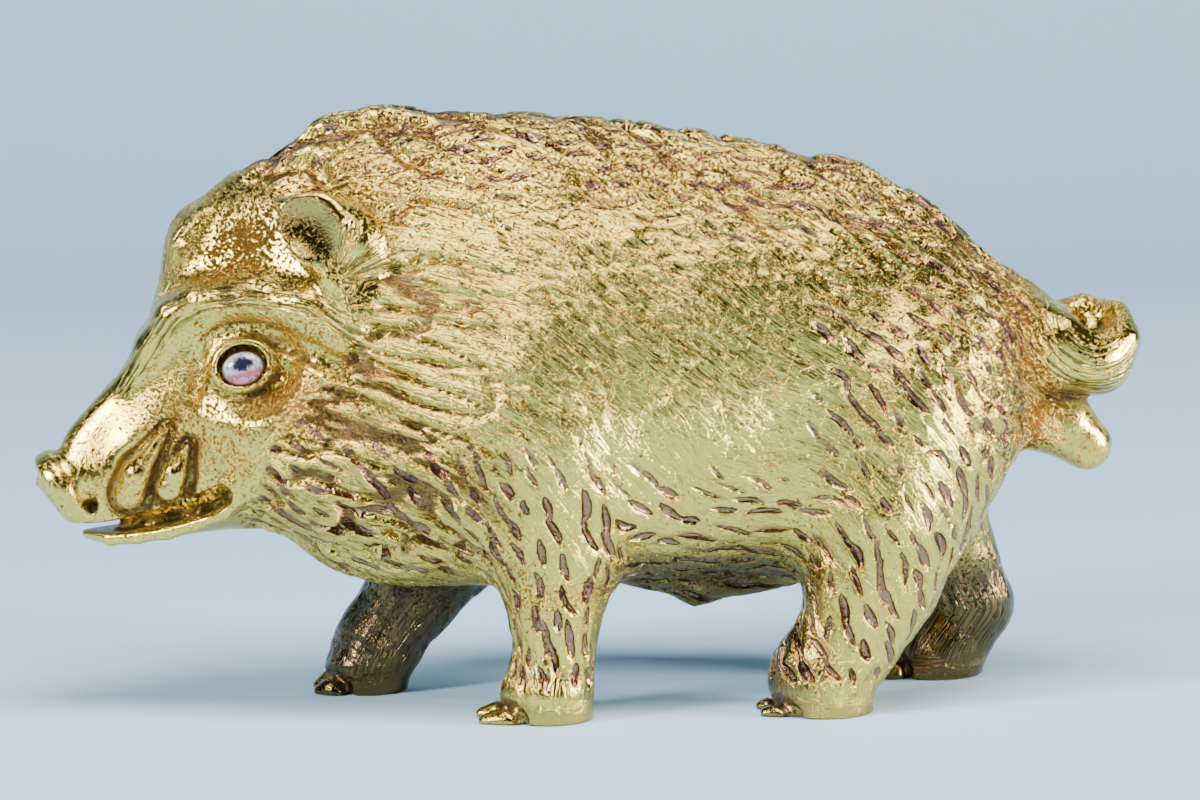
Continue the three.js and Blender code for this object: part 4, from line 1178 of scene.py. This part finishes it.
@dataclass
class Casting:
    """The boar's body, one casting from snout to tail."""

    form: BoarForm
    coat: Coat
    engraving: Engraving
    finish: PolishedBrass
    spacing: float
    triangle_limit: int = 196_000
    # Brown patches: x, z, half width, half height, strength
    patches: tuple[Row, ...] = (
        (-32, 42, 6, 6, 0.72), (-37, 27, 4, 5, 0.5), (-27, 29, 5, 4, 0.6), (-38, 21, 5, 4, 0.3),
        (-18, 49, 9, 5, 0.45), (5, 49, 14, 4, 0.4), (20, 47, 9, 4, 0.35), (38, 31, 4, 9, 0.6),
        (41, 26, 4, 4, 0.5), (46, 36, 3, 2, 0.7), (2, 12, 16, 3, 0.35), (-24, 38, 4, 4, 0.4),
    )
    # The lay of the hair is worked out on the flank unrolled about this height, by this much a radian
    axis_height: float = 28.0
    unrolled: float = 17.0

    def surface(self) -> tuple[Array, Array]:
        """The smooth form as points and quads, each point drawn onto the surface."""
        points, quads = SurfaceNet(self.spacing).mesh(self.form.distance)
        slope = self.form.gradient(points)
        steep = np.maximum(np.einsum("ij,ij->i", slope, slope), 0.3)
        step = np.clip(self.form.distance(points) / steep, -self.spacing / 2, self.spacing / 2)
        points = points - slope * step[:, None]
        return self.main_part(points, quads)

    @staticmethod
    def main_part(points: Array, quads: Array) -> tuple[Array, Array]:
        """Leaves out any small closed surface apart from the main one."""
        label = np.arange(len(points))
        while True:
            least = label[quads].min(1)
            before = label.copy()
            for column in range(4):
                np.minimum.at(label, quads[:, column], least)
            label = label[label]
            if np.array_equal(label, before):
                break
        main = np.bincount(label[quads[:, 0]]).argmax()
        quads = quads[label[quads[:, 0]] == main]
        used = np.unique(quads)
        number = np.zeros(len(points), int)
        number[used] = np.arange(len(used))
        return points[used], number[quads]

    def build(self, box: tuple[Vector, Vector]) -> bpy.types.Object:
        """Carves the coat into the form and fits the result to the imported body's box.

        Args:
            box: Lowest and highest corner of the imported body, in metres.

        Returns:
            The finished body.
        """
        smooth, quads = self.surface()
        normals = unit(self.form.gradient(smooth))
        carving = Carving(self.coat, smooth, normals)
        LOG.info("coat: %d locks and %d gouges", len(carving.locks), len(carving.gouges))
        points = self.cut(smooth, normals, carving)
        body = mesh_object("boar_body", points, quads)
        fewer = body.modifiers.new("fewer_faces", "DECIMATE")
        fewer.ratio = min(1.0, self.triangle_limit / (2 * len(quads)))
        fewer.use_collapse_triangulate = True
        bpy.context.view_layer.objects.active = body
        bpy.ops.object.modifier_apply(modifier=fewer.name)
        points = np.zeros(len(body.data.vertices) * 3)
        body.data.vertices.foreach_get("co", points)
        points = points.reshape(-1, 3)
        self.mark(body, points, carving)
        body.data.vertices.foreach_set("co", fitted(points, box).ravel())
        body.data.update()
        body.data.materials.append(self.finish.material())
        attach(body, "root")
        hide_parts("boar")
        LOG.info("boar body: %d triangles", len(body.data.polygons))
        return body

    def cut(self, points: Array, normals: Array, carving: Carving) -> Array:
        """Sinks the gaps between the locks, and the gouges, below the smooth form."""
        lock, gouge = carving.marks(points)
        tuft = self.coat.strands(*self.lay_places(points))
        cover = self.coat.cover(points)
        gaps = self.coat.lock_height(points) * (1 - lock) + self.coat.tuft_height(points) * (1 - tuft)
        dents = 0.1 + 0.28 * self.coat.waves(points) * (0.35 + 0.65 * cover)
        sunk = cover * (gaps + self.coat.gouge_depth(points) * gouge) + dents
        sunk *= smoothstep(0.05, 1.0, points[:, 2])
        return points - normals * sunk[:, None]

    def mark(self, body: bpy.types.Object, points: Array, carving: Carving) -> None:
        """Stores what the finish needs to know about each point."""
        lock, gouge = carving.marks(points)
        across, along = self.lay_places(points)
        tuft = self.coat.strands(across, along)
        cover = self.coat.cover(points)
        between = (1 - tuft) * (0.15 + 0.85 * self.coat.shag(points))
        shallow = (1 - lock) ** 2 * 0.55 * self.coat.fine(points)
        hollow = self.form.hollow(points, unit(self.form.gradient(points)))
        store(body, "between", cover * np.maximum(between, shallow))
        store(body, "gouge", cover * gouge * np.sqrt(2 * self.coat.gouge_depth(points)))
        # how closely metal stands round: drives the painted shade and the patina in crevices
        store(body, "hollow", hollow)
        store(body, "fur", cover * self.coat.fine(points))
        store(body, "tarnish", self.tarnish(points) + 0.25 * hollow)
        # painted shade on the far legs, belly and ear cups, and the dark hooves
        store(body, "painted_shade_and_hooves", self.painted_shade_and_hooves(points))
        engraved, place = self.engraving.lines(self.form, points)
        store(body, "engraved", engraved)
        store(body, "engraved_place", place)
        store(body, "lay_across", across)
        store(body, "lay_along", along)

    def tarnish(self, p: Array) -> Array:
        """How much brown skin each place has kept."""
        total = np.zeros(len(p))
        for x, z, wide, tall, amount in self.patches:
            near = ((p[:, 0] - x) / wide) ** 2 + ((p[:, 2] - z) / tall) ** 2
            total = np.maximum(total, amount * np.exp(-near))
        return total * (0.3 + 0.7 * self.coat.beside_ears(p))

    def painted_shade_and_hooves(self, p: Array) -> Array:
        """Painted shade inside the far legs, under the belly and in the ear cups, and the dark hooves."""
        x, y, z = p.T
        # painted shade on the inner side of the far legs
        far_side = smoothstep(-2, 3, y) * falling(7.5, 10.5, y) * falling(9, 17, z)
        # painted shade under the belly
        belly = smoothstep(-2, 4, x) * falling(16, 21, x) * falling(12, 17.5, z)
        # painted shade in the ear cups
        cup = falling(0.1, 0.5, round_cone(to_right(p), *self.form.ear_scoop)) * falling(-22.5, -21, x)
        # the hooves' own dark horn
        horn = np.zeros(len(p))
        for *_, foot in self.form.legs:
            ahead = foot[0] - x
            edge = 1.5 + 0.22 * ahead
            near = falling(6.5, 8.0, np.hypot(ahead, y - foot[1]))
            horn = np.maximum(horn, near * falling(edge - 0.15, edge + 0.15, z))
        return np.maximum.reduce([far_side, 0.85 * belly, 0.5 * horn, 0.65 * cup])

    def lay_places(self, p: Array) -> tuple[Array, Array]:
        """Places across and along the lay of the hair, in millimetres, for the tufts and hairs.

        Args:
            p: Points in hundredths of the length.

        Returns:
            The place across the hair and the place along it.
        """
        turn = np.arctan2(p[:, 2] - self.axis_height, np.maximum(np.abs(p[:, 1]), 0.5))
        girth = self.axis_height + self.unrolled * turn
        xs, zs = np.arange(-54, 55, 1.0), np.arange(-2, 60, 1.0)
        grid_x, grid_z = np.meshgrid(xs, zs, indexing="ij")
        lean = self.coat.angle(grid_x.ravel(), grid_z.ravel()).reshape(grid_x.shape)
        i = np.clip(p[:, 0] - xs[0], 0, len(xs) - 1.001)
        k = np.clip(girth - zs[0], 0, len(zs) - 1.001)
        i0, k0 = i.astype(int), k.astype(int)
        s, t = i - i0, k - k0
        places = []
        for slope_x, slope_z in ((np.sin(lean), np.cos(lean)), (np.cos(lean), -np.sin(lean))):
            field = self.potential(slope_x, slope_z)
            low = field[i0, k0] * (1 - s) + field[i0 + 1, k0] * s
            high = field[i0, k0 + 1] * (1 - s) + field[i0 + 1, k0 + 1] * s
            places.append((low * (1 - t) + high * t) / self.form.mm)
        return places[0], places[1]

    @staticmethod
    def potential(slope_x: Array, slope_z: Array) -> Array:
        """The height field whose slopes come nearest to the given ones."""
        source = np.zeros_like(slope_x)
        source[:-1] += (slope_x[:-1] + slope_x[1:]) / 2
        source[1:] -= (slope_x[:-1] + slope_x[1:]) / 2
        source[:, :-1] += (slope_z[:, :-1] + slope_z[:, 1:]) / 2
        source[:, 1:] -= (slope_z[:, :-1] + slope_z[:, 1:]) / 2
        n, m = source.shape
        turn = 2 - 2 * np.cos(np.pi * np.arange(n) / n)
        spin = 2 - 2 * np.cos(np.pi * np.arange(m) / m)
        waves_x = np.cos(np.pi * np.outer(np.arange(n), np.arange(n) + 0.5) / n)
        waves_z = np.cos(np.pi * np.outer(np.arange(m), np.arange(m) + 0.5) / m)
        heights = waves_x @ (-source) @ waves_z.T
        scale = turn[:, None] + spin[None, :]
        scale[0, 0] = 1
        heights /= scale
        heights[0, 0] = 0
        norm_x = np.where(np.arange(n) == 0, 1 / n, 2 / n)
        norm_z = np.where(np.arange(m) == 0, 1 / m, 2 / m)
        return waves_x.T @ (heights * norm_x[:, None] * norm_z[None, :]) @ waves_z


@dataclass
class GlassEye:
    """One oval eye of domed glass, in its socket."""

    eye: Eye
    side: Side
    finish: PaintedEyeGlass
    rings: int = 24
    points_round: int = 48
    pupil: Row = (0.05, -0.25, 1.2)  # its place along and down the oval, and how flat it is

    def build(self, box: tuple[Vector, Vector]) -> bpy.types.Object:
        """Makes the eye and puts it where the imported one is.

        Args:
            box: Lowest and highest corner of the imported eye, in metres.

        Returns:
            The finished eye.
        """
        polar = np.linspace(0, math.pi, self.rings + 1)[1:-1]
        around = np.linspace(0, 2 * math.pi, self.points_round, endpoint=False)
        ring = np.stack([np.cos(around), np.sin(around)], 1)
        rows = [np.column_stack([ring * math.sin(a), np.full(len(ring), math.cos(a))]) for a in polar]
        ball = np.concatenate([[[0, 0, 1]], *rows, [[0, 0, -1]]])
        faces = self.ball_faces()
        sizes = np.array([self.eye.length_mm, self.eye.height_mm, self.eye.thickness_mm]) / 2 * MM
        placed = (ball * sizes) @ self.eye.axes()
        placed[:, 1] *= self.side.value
        if self.side is Side.LEFT:
            faces = [face[::-1] for face in faces]
        points = fitted(placed, box)
        made = mesh_object(f"glass_eye_{self.side.name.lower()}", points, faces)
        store(made, "eye_radius", np.hypot(ball[:, 0], ball[:, 1]))
        store(made, "eye_rise", -ball[:, 1])
        aside, down, flat = self.pupil
        store(made, "pupil_gap", np.hypot(ball[:, 0] - aside, (ball[:, 1] - down) * flat))
        made.data.materials.append(self.finish.material())
        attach(made, "root")
        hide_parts(f"eye_{self.side.name.lower()}")
        LOG.info("%s: %d faces", made.name, len(made.data.polygons))
        return made

    def ball_faces(self) -> list[tuple[int, ...]]:
        """The faces of the ball that the eye is pressed from."""
        n, last = self.points_round, 1 + (self.rings - 1) * self.points_round
        faces = [(0, 1 + i, 1 + (i + 1) % n) for i in range(n)]
        for ring in range(self.rings - 2):
            start = 1 + ring * n
            faces += [(start + i, start + n + i, start + n + (i + 1) % n, start + (i + 1) % n)
                      for i in range(n)]
        start = 1 + (self.rings - 2) * n
        return faces + [(start + i, last, start + (i + 1) % n) for i in range(n)]


@dataclass
class Studio:
    """Floor, sweep, soft lights and the camera."""

    azimuth: float = -5.0
    elevation: float = 7.0
    roll: float = 0.7
    distance_mm: float = 550.0
    lens_mm: float = 139.87
    aim_mm: Row = (0.0, 0.0, 35.0)
    aim_shift_mm: Row = (1.06, 0.83)
    sensor_mm: float = 36.0
    floor_half: float = 1.6
    sweep_start: float = 0.5
    sweep_radius: float = 0.5
    sweep_top: float = 1.6
    # Each light's name, place and size in metres, and power in watts
    soft_lights: tuple[tuple[str, Row, float, float], ...] = (
        ("soft_right", (0.79, -0.3, 0.18), 0.24, 17.0),
        ("soft_left", (-0.72, -0.42, 0.42), 0.2, 11.0),
        ("soft_top", (0.05, -0.4, 0.95), 0.5, 15.0),
    )

    def build(self) -> None:
        """Sets the stage for the object."""
        self.sweep()
        self.lights()
        self.camera()
        LOG.info("studio: floor, sweep, lights and camera")

    def sweep(self) -> None:
        """A floor that curves up behind into a backdrop."""
        turn = np.linspace(0, math.pi / 2, 24)
        start, radius = self.sweep_start, self.sweep_radius
        y = np.concatenate([[-self.floor_half], start + radius * np.sin(turn), [start + radius]])
        z = np.concatenate([[0], radius * (1 - np.cos(turn)), [self.sweep_top]])
        points = np.array([(x, b, c) for x in (-self.floor_half, self.floor_half) for b, c in zip(y, z)])
        n = len(y)
        faces = [(i, i + n, i + n + 1, i + 1) for i in range(n - 1)]
        made = mesh_object("studio_sweep", points, faces)
        made.data.materials.append(StudioPaper().material())

    def lights(self) -> None:
        """Two large soft lights, a top light and a dim room."""
        for name, place, size, power in self.soft_lights:
            light = bpy.data.lights.new(name, "AREA")
            light.energy, light.size = power, size
            made = bpy.data.objects.new(name, light)
            made.location = place
            made.rotation_mode = "QUATERNION"
            made.rotation_quaternion = (Vector(place) - Vector((0, 0, 0.03))).to_track_quat("Z", "Y")
            bpy.context.scene.collection.objects.link(made)
        world = bpy.data.worlds.new("dim_room")
        nodes = Nodes(world)
        direction = nodes.add("ShaderNodeTexCoord").outputs["Generated"]
        up = nodes.add("ShaderNodeSeparateXYZ", Vector=direction).outputs["Z"]
        colour = nodes.mixed(nodes.rising(up, -0.1, 0.8, "LINEAR"), linear("#2B3036"), linear("#4A4D50"))
        background = nodes.add("ShaderNodeBackground", Color=colour, Strength=0.65).outputs[0]
        nodes.add("ShaderNodeOutputWorld", Surface=background)
        bpy.context.scene.world = world

    def camera(self) -> None:
        """A long lens at the photograph's angle."""
        a, e = math.radians(self.azimuth), math.radians(self.elevation)
        back = Vector((math.sin(a) * math.cos(e), -math.cos(a) * math.cos(e), math.sin(e)))
        right = Vector((math.cos(a), math.sin(a), 0))
        up = back.cross(right)
        data = bpy.data.cameras.new("camera")
        data.lens, data.sensor_width = self.lens_mm, self.sensor_mm
        data.clip_start, data.clip_end = 0.02, 20
        made = bpy.data.objects.new("camera", data)
        bpy.context.scene.collection.objects.link(made)
        aim = (Vector(self.aim_mm) + right * self.aim_shift_mm[0] + up * self.aim_shift_mm[1]) * MM
        turn = Matrix((right, up, back)).transposed() @ Matrix.Rotation(-math.radians(self.roll), 3, "Z")
        made.matrix_world = Matrix.Translation(aim + back * self.distance_mm * MM) @ turn.to_4x4()
        bpy.context.scene.camera = made


def main() -> None:
    """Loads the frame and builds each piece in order."""
    logging.basicConfig(level=logging.INFO, format="%(message)s")
    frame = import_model()
    LOG.info("frame: %s", ", ".join(sorted(frame["nodes"])))
    Studio().build()
    form = BoarForm()
    spacing = FULL_SPACING
    Casting(form, Coat(), Engraving(), PolishedBrass(), spacing).build(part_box("boar"))
    for side in Side:
        GlassEye(form.eye, side, PaintedEyeGlass()).build(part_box(f"eye_{side.name.lower()}"))
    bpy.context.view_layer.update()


if __name__ == "__main__":
    main()
